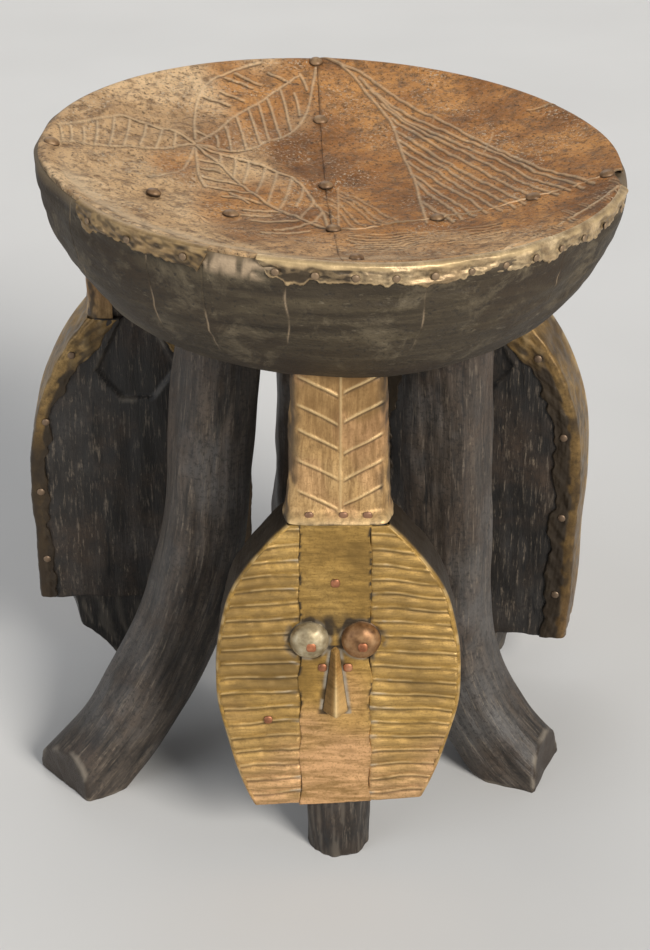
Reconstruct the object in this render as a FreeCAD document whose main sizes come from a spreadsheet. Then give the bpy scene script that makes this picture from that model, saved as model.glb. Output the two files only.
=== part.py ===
import FreeCAD, Part
import math
import os
import Sketcher

# A carved six-legged stool: a thick dished seat lined with sheet metal, three plain bent legs
# and three legs carved as posts with a mask-like head board dressed in sheet metal.
# Frame: millimetres, +Z up, the floor at z = 0, the front figure faces -Y,
# and the origin is the middle of the whole stool's outline on the floor.

SIZES = {
    # The seat's axis in the frame
    "seat_axis_x": 13.9,
    "seat_axis_y": -11.2,
    # Seat: a shallow bowl turned about its own axis and set a little lower on the right
    "seat_radius": 170,
    "seat_height": 398,
    "seat_depth": 114,
    "seat_shoulder_radius": 100,
    "seat_tilt_angle": 2.8,
    "lip_width": 4,
    "dish_depth": 24,
    # Sheet metal
    "sheet_thickness": 0.8,
    "sheet_gap": 0.2,
    "seam_gap": 0.4,
    "seam_back_share": -0.065,
    "seam_front_share": 0.024,
    "cross_seam_middle_share": -0.459,
    "cross_seam_rim_share": -0.076,
    "patch_seam_inset": 22,
    "patch_seam_angle": -35.5,
    "rim_strip_drop": 11,
    "rim_strip_start_angle": 257,
    "rim_strip_sweep_angle": 89,
    "rim_patch_start_angle": 216,
    "rim_patch_sweep_angle": 31,
    # Tacks and pins
    "tack_head_radius": 4.5,
    "tack_head_height": 2.4,
    "tack_shank_radius": 1.4,
    "tack_shank_length": 11,
    "shank_gap": 0.1,
    "pin_head_radius": 2.4,
    "pin_crown_radius": 1.4,
    "pin_head_height": 1.2,
    # Tenons on the six legs and their mortises under the seat
    "tenon_radius": 13,
    "tenon_length": 26,
    "tenon_root": 24,
    "mortise_gap": 0.3,
    "cope_gap": 0.3,
    "leg_blank_drop": 45,
    # Front left leg
    "front_left_azimuth": -67.5,
    "front_left_top_reach_share": 0.389,
    "front_left_thickness": 48.5,
    "front_left_lean_angle": 6,
    "front_left_bend_height": 183,
    "front_left_bend_radius": 284,
    "front_left_foot_angle": 55.5,
    "front_left_foot_run": 8,
    "front_left_end_azimuth": -49,
    "front_left_end_tilt_angle": 3,
    "front_left_end_reach_share": 1.027,
    # Front right leg
    "front_right_azimuth": 67,
    "front_right_top_reach_share": 0.423,
    "front_right_thickness": 50,
    "front_right_lean_angle": 1.5,
    "front_right_bend_height": 113,
    "front_right_bend_radius": 144,
    "front_right_foot_angle": 52.5,
    "front_right_foot_run": 50,
    "front_right_end_azimuth": 68,
    "front_right_end_tilt_angle": -6,
    "front_right_end_reach_share": 0.868,
    # Rear leg
    "rear_azimuth": 187,
    "rear_top_reach_share": 0.429,
    "rear_thickness": 54,
    "rear_lean_angle": 5,
    "rear_bend_height": 170,
    "rear_bend_radius": 220,
    "rear_foot_angle": 50,
    "rear_foot_run": 50,
    "rear_end_azimuth": 187,
    "rear_end_tilt_angle": 10,
    "rear_end_reach_share": 1.105,
    "leg_corner_share": 0.36,
    # Figure legs: shared sections
    "board_front": 24,
    "board_back": 18,
    "post_half_width": 27.5,
    "post_front": 20,
    "post_back": 14,
    "post_corner_radius": 9,
    "stub_foot_radius": 18,
    "recess_drop": 56,
    "recess_corner_drop": 36,
    "recess_half_width": 25,
    "recess_foot_half_width": 10,
    "recess_top_half_width": 8,
    "fold_margin": 18,
    "wrap_back": 6,
    # Face: the middle band, the ribbed cheeks, the eyes and the nose
    "face_offset": -1.8,
    "band_width": 41,
    "rib_pitch": 10.2,
    "rib_height": 1.3,
    "eye_radius": 11.2,
    "eye_height": 8.5,
    "eye_spacing": 29.6,
    "eye_drop": 72,
    "nose_top_drop": 79,
    "nose_length": 40,
    "nose_top_half_width": 2.4,
    "nose_foot_half_width": 7.6,
    "nose_height": 11,
    "nose_top_height": 6,
    "cheek_pin_reach": 41,
    "cheek_pin_height": 56,
    # Front figure
    "front_x_share": 0.0176,
    "front_y_share": -0.7412,
    "front_yaw_angle": 0,
    "front_lean_angle": 5.1,
    "front_board_bottom": 42,
    "front_board_drop": 175,
    "front_widest_share": 0.505,
    "front_half_width_share": 0.4135,
    "front_bottom_half_width_share": 0.285,
    "front_stub_top_radius": 19,
    "front_stub_waist_radius": 18.5,
    "front_stub_waist_height": 14,
    # Rear left figure
    "rear_left_x_share": -0.7353,
    "rear_left_y_share": 0.3412,
    "rear_left_yaw_angle": 184,
    "rear_left_lean_angle": 1,
    "rear_left_board_bottom": 73,
    "rear_left_board_drop": 122,
    "rear_left_widest_share": 0.429,
    "rear_left_half_width_share": 0.4118,
    "rear_left_bottom_half_width_share": 0.4059,
    "rear_left_stub_top_radius": 56,
    "rear_left_stub_waist_radius": 21,
    "rear_left_stub_waist_height": 14,
    # Rear right figure
    "rear_right_x_share": 0.5529,
    "rear_right_y_share": 0.4,
    "rear_right_yaw_angle": 166,
    "rear_right_lean_angle": 1,
    "rear_right_board_bottom": 40,
    "rear_right_board_drop": 122,
    "rear_right_widest_share": 0.559,
    "rear_right_half_width_share": 0.4118,
    "rear_right_bottom_half_width_share": 0.3882,
    "rear_right_stub_top_radius": 28,
    "rear_right_stub_waist_radius": 20,
    "rear_right_stub_waist_height": 14,
}

# Places of the seat's tacks, as shares of the seat's radius: most of them sit on the seams.
TACK_SHARES = [
    (-0.065, 0.947), (-0.041, 0.547), (-0.947, -0.053), (-0.588, -0.294), (-0.329, -0.388),
    (-0.018, 0.006), (0.006, -0.459), (0.347, -0.329), (0.671, -0.2), (0.924, -0.1), (0.071, -0.912),
]
# Rim pins by their turn about the seat; hem pins as shares of the post's half width;
# pins of the turned-over margins as shares of the board's height.
RIM_PIN_AZIMUTHS = [220, 231, 243, 260, 267, 274, 281, 288, 295, 302, 309, 316, 323, 331, 340]
HEM_PIN_SHARES = [-0.6, 0.1, 0.6]
MARGIN_PIN_SHARES = [0.15, 0.4, 0.65, 0.88]

doc = FreeCAD.newDocument("six_legged_stool")
sizes = doc.addObject("Spreadsheet::Sheet", "sizes")
for row, (alias, number) in enumerate(SIZES.items(), start=1):
    sizes.set(f"A{row}", alias)
    sizes.set(f"B{row}", str(number))
    sizes.setAlias(f"B{row}", alias)
doc.recompute()


def size(alias):
    """Value of one cell of the sheet."""
    return float(sizes.get(alias))


def vector(x, y, z=0.0):
    return FreeCAD.Vector(x, y, z)


def turn(axis, degrees):
    return FreeCAD.Rotation(axis, degrees)


X_AXIS = vector(1, 0, 0)
Y_AXIS = vector(0, 1, 0)
Z_AXIS = vector(0, 0, 1)


def add(kind, name, placement=None, **bindings):
    """A primitive or boolean with its properties bound to cells of the sheet."""
    part = doc.addObject(kind, name)
    for prop, rule in bindings.items():
        part.setExpression(prop, rule)
    if placement is not None:
        part.Placement = placement
    return part


def combine(kind, name, base, tool):
    """A cut, fuse or common of two objects."""
    part = doc.addObject("Part::" + kind, name)
    part.Base = base
    part.Tool = tool
    return part


def group(name, members):
    part = doc.addObject("Part::Compound", name)
    part.Links = members
    return part


def add_body(name, placement):
    body = doc.addObject("PartDesign::Body", name)
    body.Placement = placement
    return body


def add_sketch(body, name, plane, offset="0"):
    """A sketch on one of the body's own planes, moved along the plane's normal."""
    sketch = body.newObject("Sketcher::SketchObject", name)
    support = next(item for item in body.Origin.OriginFeatures if item.Role == plane)
    sketch.AttachmentSupport = [(support, "")]
    sketch.MapMode = "FlatFace"
    sketch.setExpression(".AttachmentOffset.Base.z", offset)
    return sketch


def add_outline(sketch, curves, joint="Coincident"):
    """Adds a closed chain of lines and arcs and joins each end to the next start."""
    first = sketch.GeometryCount
    for curve in curves:
        sketch.addGeometry(curve, False)
    for index in range(len(curves)):
        here = first + index
        after = first + (index + 1) % len(curves)
        pairs = [(a, b) for a in (1, 2) for b in (1, 2)]
        nearest = min(
            pairs,
            key=lambda ab: (sketch.getPoint(here, ab[0]) - sketch.getPoint(after, ab[1])).Length,
        )
        sketch.addConstraint(Sketcher.Constraint(joint, here, nearest[0], after, nearest[1]))


def dimension(sketch, name, rule, *where):
    """A named sketch dimension bound to the sheet."""
    index = sketch.addConstraint(Sketcher.Constraint(*where))
    sketch.renameConstraint(index, name)
    sketch.setExpression("Constraints." + name, rule)


def line(start, end):
    return Part.LineSegment(start, end)


def arc(start, middle, end):
    return Part.Arc(start, middle, end)


def polygon(points):
    return [line(point, points[(i + 1) % len(points)]) for i, point in enumerate(points)]


def pad(body, sketch, name, rule, reversed_way=False):
    feature = body.newObject("PartDesign::Pad", name)
    feature.Profile = sketch
    feature.setExpression("Length", rule)
    feature.Reversed = reversed_way
    return feature


def revolve(body, sketch, name, rule="360"):
    feature = body.newObject("PartDesign::Revolution", name)
    feature.Profile = sketch
    feature.ReferenceAxis = (sketch, ["V_Axis"])
    feature.setExpression("Angle", rule)
    return feature


# Seat

AXIS = vector(size("seat_axis_x"), size("seat_axis_y"))
SEAT_FRAME = FreeCAD.Placement(
    AXIS + vector(0, 0, size("seat_height")), turn(Y_AXIS, size("seat_tilt_angle"))
)
BOTTOM_RADIUS = (
    size("seat_radius") ** 2
    + size("seat_depth") ** 2
    - 2 * size("seat_radius") * size("seat_shoulder_radius")
) / (2 * (size("seat_depth") - size("seat_shoulder_radius")))
SHOULDER_CENTRE = vector(size("seat_radius") - size("seat_shoulder_radius"), 0)
BOTTOM_CENTRE = vector(0, BOTTOM_RADIUS - size("seat_depth"))
DISH_RADIUS_RULE = (
    "(pow(sizes.seat_radius - sizes.lip_width; 2) + pow(sizes.dish_depth; 2)) / (2 * sizes.dish_depth)"
)
DISH_RADIUS = ((size("seat_radius") - size("lip_width")) ** 2 + size("dish_depth") ** 2) / (
    2 * size("dish_depth")
)


def shoulder_joint():
    """Point where the broad bottom arc runs into the tighter shoulder arc."""
    way = SHOULDER_CENTRE - BOTTOM_CENTRE
    way.normalize()
    return BOTTOM_CENTRE + way * BOTTOM_RADIUS


def underside(x, y):
    """Height of the seat's underside above the floor at a point measured from its axis."""
    reach = math.hypot(x, y)
    if reach < shoulder_joint().x:
        drop = BOTTOM_CENTRE.y - math.sqrt(BOTTOM_RADIUS**2 - reach**2)
    else:
        across = reach - SHOULDER_CENTRE.x
        drop = -math.sqrt(max(size("seat_shoulder_radius") ** 2 - across**2, 0.0))
    return size("seat_height") - x * math.tan(math.radians(size("seat_tilt_angle"))) + drop


def seat_blank(name, placement):
    """The bowl's outside turned as a full solid up to the plane of the rim."""
    body = add_body(name, placement)
    sketch = add_sketch(body, name + "_profile", "XZ_Plane")
    top = vector(0, 0)
    bottom = vector(0, -size("seat_depth"))
    rim = vector(size("seat_radius"), 0)
    joint = shoulder_joint()
    low_way = (bottom + joint) * 0.5 - BOTTOM_CENTRE
    low_way.normalize()
    high_way = (joint + rim) * 0.5 - SHOULDER_CENTRE
    high_way.normalize()
    curves = [
        line(top, bottom),
        arc(bottom, BOTTOM_CENTRE + low_way * BOTTOM_RADIUS, joint),
        arc(joint, SHOULDER_CENTRE + high_way * size("seat_shoulder_radius"), rim),
        line(rim, top),
    ]
    add_outline(sketch, curves)
    sketch.addConstraint(Sketcher.Constraint("Coincident", 0, 1, -1, 1))
    sketch.addConstraint(Sketcher.Constraint("Vertical", 0))
    sketch.addConstraint(Sketcher.Constraint("Horizontal", 3))
    sketch.addConstraint(Sketcher.Constraint("PointOnObject", 1, 3, -2))
    sketch.addConstraint(Sketcher.Constraint("PointOnObject", 2, 3, -1))
    dimension(sketch, "depth", "sizes.seat_depth", "Distance", 0, size("seat_depth"))
    dimension(sketch, "rim", "sizes.seat_radius", "Distance", 3, size("seat_radius"))
    dimension(
        sketch, "shoulder", "sizes.seat_shoulder_radius", "Radius", 2, size("seat_shoulder_radius")
    )
    revolve(body, sketch, name + "_turning")
    return body


def dish_ball(name, rule):
    """Ball that hollows the seat: its lowest point is the middle of the dish."""
    lift = vector(0, 0, DISH_RADIUS - size("dish_depth"))
    place = SEAT_FRAME.multiply(FreeCAD.Placement(lift, FreeCAD.Rotation()))
    return add("Part::Sphere", name, place, Radius=rule)


def on_dish(x_share, y_share, rise=0.0):
    """Placement on the lined dish, at shares of the seat's radius; its z axis is the normal there."""
    x = x_share * size("seat_radius")
    y = y_share * size("seat_radius")
    radius = DISH_RADIUS - size("sheet_gap") - size("sheet_thickness")
    lift = DISH_RADIUS - size("dish_depth")
    depth = math.sqrt(radius**2 - x**2 - y**2)
    normal = vector(-x, -y, depth) * (1 / radius)
    foot = vector(x, y, lift - depth) + normal * rise
    return SEAT_FRAME.multiply(FreeCAD.Placement(foot, FreeCAD.Rotation(Z_AXIS, normal)))


def tack_shanks(name, radius_rule):
    """Shanks of the seat's tacks, or with a wider rule the holes that they sit in."""
    return [
        add(
            "Part::Cylinder",
            f"{name}_{index}",
            on_dish(*place, -size("tack_shank_length")),
            Radius=radius_rule,
            Height="sizes.tack_shank_length",
        )
        for index, place in enumerate(TACK_SHARES)
    ]


def seat_tacks():
    """Domed tacks, each with its shank through the lining into the wood."""
    tacks = []
    for index, shank in enumerate(tack_shanks("tack_shank", "sizes.tack_shank_radius")):
        head = add(
            "Part::Ellipsoid",
            f"tack_head_{index}",
            on_dish(*TACK_SHARES[index]),
            Radius1="sizes.tack_head_height",
            Radius2="sizes.tack_head_radius",
            Radius3="sizes.tack_head_radius",
        )
        head.Angle1 = 0
        tacks.append(combine("Fuse", f"tack_{index}", head, shank))
    return group("seat_tacks", tacks)


def panel_block(name, points):
    """Block that cuts one panel out of the lining; its plan is given in the seat's plane."""
    body = add_body(name, SEAT_FRAME)
    sketch = add_sketch(body, name + "_plan", "XY_Plane", "-sizes.dish_depth - sizes.sheet_thickness")
    add_outline(sketch, polygon([vector(*point) for point in points]))
    pad(body, sketch, name + "_pad", "sizes.dish_depth + sizes.sheet_thickness")
    return body


def seat_sheets(holes):
    """Four panels of sheet metal that line the dish, parted along straight seams."""
    outer = dish_ball("lining_outside", DISH_RADIUS_RULE + " - sizes.sheet_gap")
    inner = dish_ball("lining_inside", DISH_RADIUS_RULE + " - sizes.sheet_gap - sizes.sheet_thickness")
    shell = combine("Cut", "lining_shell", outer, inner)
    drop = FreeCAD.Placement(
        vector(0, 0, -size("dish_depth") - size("sheet_thickness")), FreeCAD.Rotation()
    )
    disc = add(
        "Part::Cylinder",
        "lining_disc",
        SEAT_FRAME.multiply(drop),
        Radius="sizes.seat_radius - sizes.lip_width - sizes.seam_gap",
        Height="sizes.dish_depth + sizes.sheet_thickness",
    )
    lining = combine("Common", "lining", shell, disc)
    rim = size("seat_radius")
    far = 2 * rim
    half = size("seam_gap") / 2
    back_x = rim * size("seam_back_share")
    front_x = rim * size("seam_front_share")
    middle_y = rim * size("cross_seam_middle_share")
    rim_y = rim * size("cross_seam_rim_share")

    def seam_x(y):
        return back_x + (front_x - back_x) * (rim - y) / (2 * rim)

    def cross_y(x):
        return middle_y + (rim_y - middle_y) * x / rim

    angle = math.radians(size("patch_seam_angle"))
    out = vector(math.cos(angle), math.sin(angle))
    along = vector(-out.y, out.x)

    def patch_corner(reach, side):
        corner = out * reach + along * (side * far)
        return corner.x, corner.y

    seam = rim - size("patch_seam_inset")
    plans = {
        "seat_sheet_left": [
            (seam_x(far) - half, far),
            (seam_x(-far) - half, -far),
            (-far, -far),
            (-far, far),
        ],
        "seat_sheet_right": [
            (seam_x(far) + half, far),
            (seam_x(cross_y(0)) + half, cross_y(seam_x(cross_y(0))) + half),
            (far, cross_y(far) + half),
            (far, far),
        ],
        "front_field": [
            (seam_x(cross_y(0)) + half, cross_y(seam_x(cross_y(0))) - half),
            (seam_x(-far) + half, -far),
            (far, -far),
            (far, cross_y(far) - half),
        ],
        "patch_field": [
            patch_corner(seam, 1),
            patch_corner(seam, -1),
            patch_corner(far, -1),
            patch_corner(far, 1),
        ],
        "patch_joint": [
            patch_corner(seam - 2 * half, 1),
            patch_corner(seam - 2 * half, -1),
            patch_corner(far, -1),
            patch_corner(far, 1),
        ],
    }
    blocks = {name: panel_block(name + "_block", plan) for name, plan in plans.items()}
    front_block = combine(
        "Cut", "seat_sheet_front_block", blocks["front_field"], blocks["patch_joint"]
    )
    patch_block = combine(
        "Common", "seat_sheet_patch_block", blocks["patch_field"], blocks["front_field"]
    )
    cutters = {
        "seat_sheet_left": blocks["seat_sheet_left"],
        "seat_sheet_right": blocks["seat_sheet_right"],
        "seat_sheet_front": front_block,
        "seat_sheet_patch": patch_block,
    }
    sheets = []
    for name, block in cutters.items():
        panel = combine("Common", name + "_panel", lining, block)
        sheets.append(combine("Cut", name, panel, holes))
    return sheets


def rim_strip(name, start, sweep_rule):
    """Strip of sheet metal folded over the lip: a flange on top and a skirt outside."""
    place = SEAT_FRAME.multiply(FreeCAD.Placement(vector(0, 0), turn(Z_AXIS, start)))
    body = add_body(name, place)
    sketch = add_sketch(body, name + "_section", "XZ_Plane")
    gap = size("sheet_gap")
    thick = size("sheet_thickness")
    inside = size("seat_radius") - size("lip_width")
    outside = size("seat_radius") + gap
    corners = [
        vector(inside, gap),
        vector(outside, gap),
        vector(outside, -size("rim_strip_drop")),
        vector(outside + thick, -size("rim_strip_drop")),
        vector(outside + thick, gap + thick),
        vector(inside, gap + thick),
    ]
    add_outline(sketch, polygon(corners))
    for index in (0, 2, 4):
        sketch.addConstraint(Sketcher.Constraint("Horizontal", index))
    for index in (1, 3, 5):
        sketch.addConstraint(Sketcher.Constraint("Vertical", index))
    dimension(sketch, "flange_edge", "sizes.seat_radius - sizes.lip_width", "DistanceX", -1, 1, 0, 1, inside)
    dimension(sketch, "flange", "sizes.lip_width + sizes.sheet_gap", "Distance", 0, outside - inside)
    dimension(sketch, "skirt", "sizes.rim_strip_drop", "DistanceY", 2, 1, -1, 1, size("rim_strip_drop"))
    dimension(sketch, "rise", "sizes.sheet_gap", "DistanceY", -1, 1, 0, 1, gap)
    dimension(sketch, "hem", "sizes.sheet_thickness", "Distance", 2, thick)
    dimension(sketch, "edge", "sizes.sheet_thickness", "Distance", 5, thick)
    revolve(body, sketch, name + "_turning", sweep_rule)
    return body


def pin(name, placement):
    """Small copper pin: the worn frustum of its head, seated on the sheet."""
    return add(
        "Part::Cone",
        name,
        placement,
        Radius1="sizes.pin_head_radius",
        Radius2="sizes.pin_crown_radius",
        Height="sizes.pin_head_height",
    )


def rim_pins():
    """Pins through the skirt of the rim strips, halfway down it."""
    reach = size("seat_radius") + size("sheet_gap") + size("sheet_thickness")
    pins = []
    for index, azimuth in enumerate(RIM_PIN_AZIMUTHS):
        spin = FreeCAD.Placement(vector(0, 0), turn(Z_AXIS, azimuth))
        seat = FreeCAD.Placement(vector(reach, 0, -size("rim_strip_drop") / 2), turn(Y_AXIS, 90))
        pins.append(pin(f"rim_pin_{index}", SEAT_FRAME.multiply(spin).multiply(seat)))
    return group("rim_pins", pins)


# Legs

def leg_room():
    """Space that the legs may fill: above the floor and a hair's breadth under the seat."""
    low = FreeCAD.Placement(SEAT_FRAME.Base - vector(0, 0, size("cope_gap")), SEAT_FRAME.Rotation)
    under = add("Part::Cylinder", "room_below", Radius="3 * sizes.seat_radius", Height="sizes.seat_height")
    return combine("Cut", "leg_room", under, seat_blank("coping_blank", low))


ROOM = leg_room()
MORTISES = []


def tenoned(name, blank, x, y):
    """A leg fitted to the room under the seat and given its round tenon; its mortise is noted."""
    fitted = combine("Common", name + "_fitted", blank, ROOM)
    height = underside(x, y)
    root = AXIS + vector(x, y, height - size("tenon_root"))
    place = FreeCAD.Placement(root, FreeCAD.Rotation())
    tenon = add(
        "Part::Cylinder",
        name + "_tenon",
        place,
        Radius="sizes.tenon_radius",
        Height="sizes.tenon_root + sizes.tenon_length",
    )
    mortise = add(
        "Part::Cylinder",
        name + "_mortise",
        place,
        Radius="sizes.tenon_radius + sizes.mortise_gap",
        Height="sizes.tenon_root + sizes.tenon_length + sizes.mortise_gap",
    )
    MORTISES.append(mortise)
    return combine("Fuse", name, fitted, tenon)


def rounded_rectangle(half, front, back, corner):
    """Rectangle with round corners as four sides and four arcs, from the front side round."""
    bevel = corner * (1 - math.sqrt(0.5))
    curves = []
    for x, y, way, next_way in (
        (half, -front, vector(1, 0), vector(0, 1)),
        (half, back, vector(0, 1), vector(-1, 0)),
        (-half, back, vector(-1, 0), vector(0, -1)),
        (-half, -front, vector(0, -1), vector(1, 0)),
    ):
        tip = vector(x, y)
        length = (2 * half if way.x else front + back) - 2 * corner
        before = tip - way * corner
        after = tip + next_way * corner
        curves.append(line(before - way * length, before))
        curves.append(arc(before, tip - way * bevel + next_way * bevel, after))
    return curves


def add_rounded_rectangle(sketch, half, front, back, corner, rules):
    """A rounded rectangle about the sketch's origin, bound to the four rules of its sizes."""
    add_outline(sketch, rounded_rectangle(half, front, back, corner), "Tangent")
    for index in (0, 4):
        sketch.addConstraint(Sketcher.Constraint("Horizontal", index))
    for index in (2, 6):
        sketch.addConstraint(Sketcher.Constraint("Vertical", index))
    for index in (3, 5, 7):
        sketch.addConstraint(Sketcher.Constraint("Equal", 1, index))
    dimension(sketch, "corner", rules["corner"], "Radius", 1, corner)
    dimension(sketch, "right", rules["half"], "DistanceX", -1, 1, 2, 1, half)
    dimension(sketch, "left", rules["half"], "DistanceX", 6, 1, -1, 1, half)
    dimension(sketch, "front", rules["front"], "DistanceY", 0, 1, -1, 1, front)
    dimension(sketch, "back", rules["back"], "DistanceY", -1, 1, 4, 1, back)


def leg_section(body, name):
    """Rounded square section of a plain leg, in the plane of its top end."""
    half = size(name + "_thickness") / 2
    corner = 2 * half * size("leg_corner_share")
    sketch = add_sketch(body, name + "_section", "XY_Plane")
    half_rule = f"sizes.{name}_thickness / 2"
    rules = {
        "half": half_rule,
        "front": half_rule,
        "back": half_rule,
        "corner": f"sizes.{name}_thickness * sizes.leg_corner_share",
    }
    add_rounded_rectangle(sketch, half, half, half, corner, rules)
    return sketch


def end_block(name):
    """Block that takes off the end of a plain leg along its own steep plane."""
    azimuth = math.radians(size(name + "_end_azimuth"))
    out = vector(math.sin(azimuth), -math.cos(azimuth))
    facing = turn(Z_AXIS, size(name + "_end_azimuth") - 90).multiply(
        turn(Y_AXIS, size(name + "_end_tilt_angle"))
    )
    side = size("seat_radius")
    corner = AXIS + out * (side * size(name + "_end_reach_share"))
    corner = corner + facing.multVec(vector(0, -side, -side / 2))
    return add(
        "Part::Box",
        name + "_end_block",
        FreeCAD.Placement(corner, facing),
        Length="sizes.seat_radius",
        Width="2 * sizes.seat_radius",
        Height="sizes.seat_radius",
    )


def plain_leg(name):
    """Bent leg: straight under the seat, then swept outward to a foot cut off steeply."""
    azimuth = math.radians(size(name + "_azimuth"))
    out = vector(math.sin(azimuth), -math.cos(azimuth))
    reach = size("seat_radius") * size(name + "_top_reach_share")
    top = size("seat_height") - size("leg_blank_drop")
    heading = turn(Z_AXIS, size(name + "_azimuth") - 90)
    body = add_body(name + "_blank", FreeCAD.Placement(AXIS + out * reach + vector(0, 0, top), heading))
    lean = math.radians(size(name + "_lean_angle"))
    foot = math.radians(size(name + "_foot_angle"))
    radius = size(name + "_bend_radius")
    straight = (top - size(name + "_bend_height")) / math.cos(lean)

    def heading_at(angle):
        return vector(math.sin(angle), -math.cos(angle))

    def bend_point(angle):
        across = math.cos(lean) - math.cos(angle)
        down = math.sin(angle) - math.sin(lean)
        return bend_start + vector(radius * across, -radius * down)

    bend_start = heading_at(lean) * straight
    bend_end = bend_point(foot)
    section = leg_section(body, name)
    spine = add_sketch(body, name + "_spine", "XZ_Plane")
    spine.addGeometry(line(vector(0, 0), bend_start), False)
    spine.addGeometry(arc(bend_start, bend_point((lean + foot) / 2), bend_end), False)
    spine.addGeometry(line(bend_end, bend_end + heading_at(foot) * size(name + "_foot_run")), False)
    first, last = (1, 2) if (spine.getPoint(1, 1) - bend_start).Length < radius / 100 else (2, 1)
    spine.addConstraint(Sketcher.Constraint("Coincident", 0, 1, -1, 1))
    spine.addConstraint(Sketcher.Constraint("Tangent", 0, 2, 1, first))
    spine.addConstraint(Sketcher.Constraint("Tangent", 1, last, 2, 1))
    dimension(
        spine,
        "lean",
        f"(sizes.{name}_lean_angle - 90) * 1 deg",
        "Angle",
        0,
        lean - math.pi / 2,
    )
    dimension(
        spine,
        "shank",
        f"sizes.seat_height - sizes.leg_blank_drop - sizes.{name}_bend_height",
        "DistanceY",
        0,
        2,
        -1,
        1,
        top - size(name + "_bend_height"),
    )
    dimension(spine, "bend", f"sizes.{name}_bend_radius", "Radius", 1, radius)
    dimension(
        spine,
        "foot_angle",
        f"(sizes.{name}_foot_angle - 90) * 1 deg",
        "Angle",
        2,
        foot - math.pi / 2,
    )
    dimension(
        spine, "foot", f"sizes.{name}_foot_run", "Distance", 2, size(name + "_foot_run")
    )
    sweep = body.newObject("PartDesign::AdditivePipe", name + "_sweep")
    sweep.Profile = section
    sweep.Spine = (spine, ["Edge1", "Edge2", "Edge3"])
    slope = math.tan(lean)
    x, y = out.x * reach, out.y * reach
    drop = (top - underside(x, y)) * slope
    trimmed = combine("Cut", name + "_trimmed", body, end_block(name))
    return tenoned("leg_" + name, trimmed, x + out.x * drop, y + out.y * drop)


# Figure legs

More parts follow.
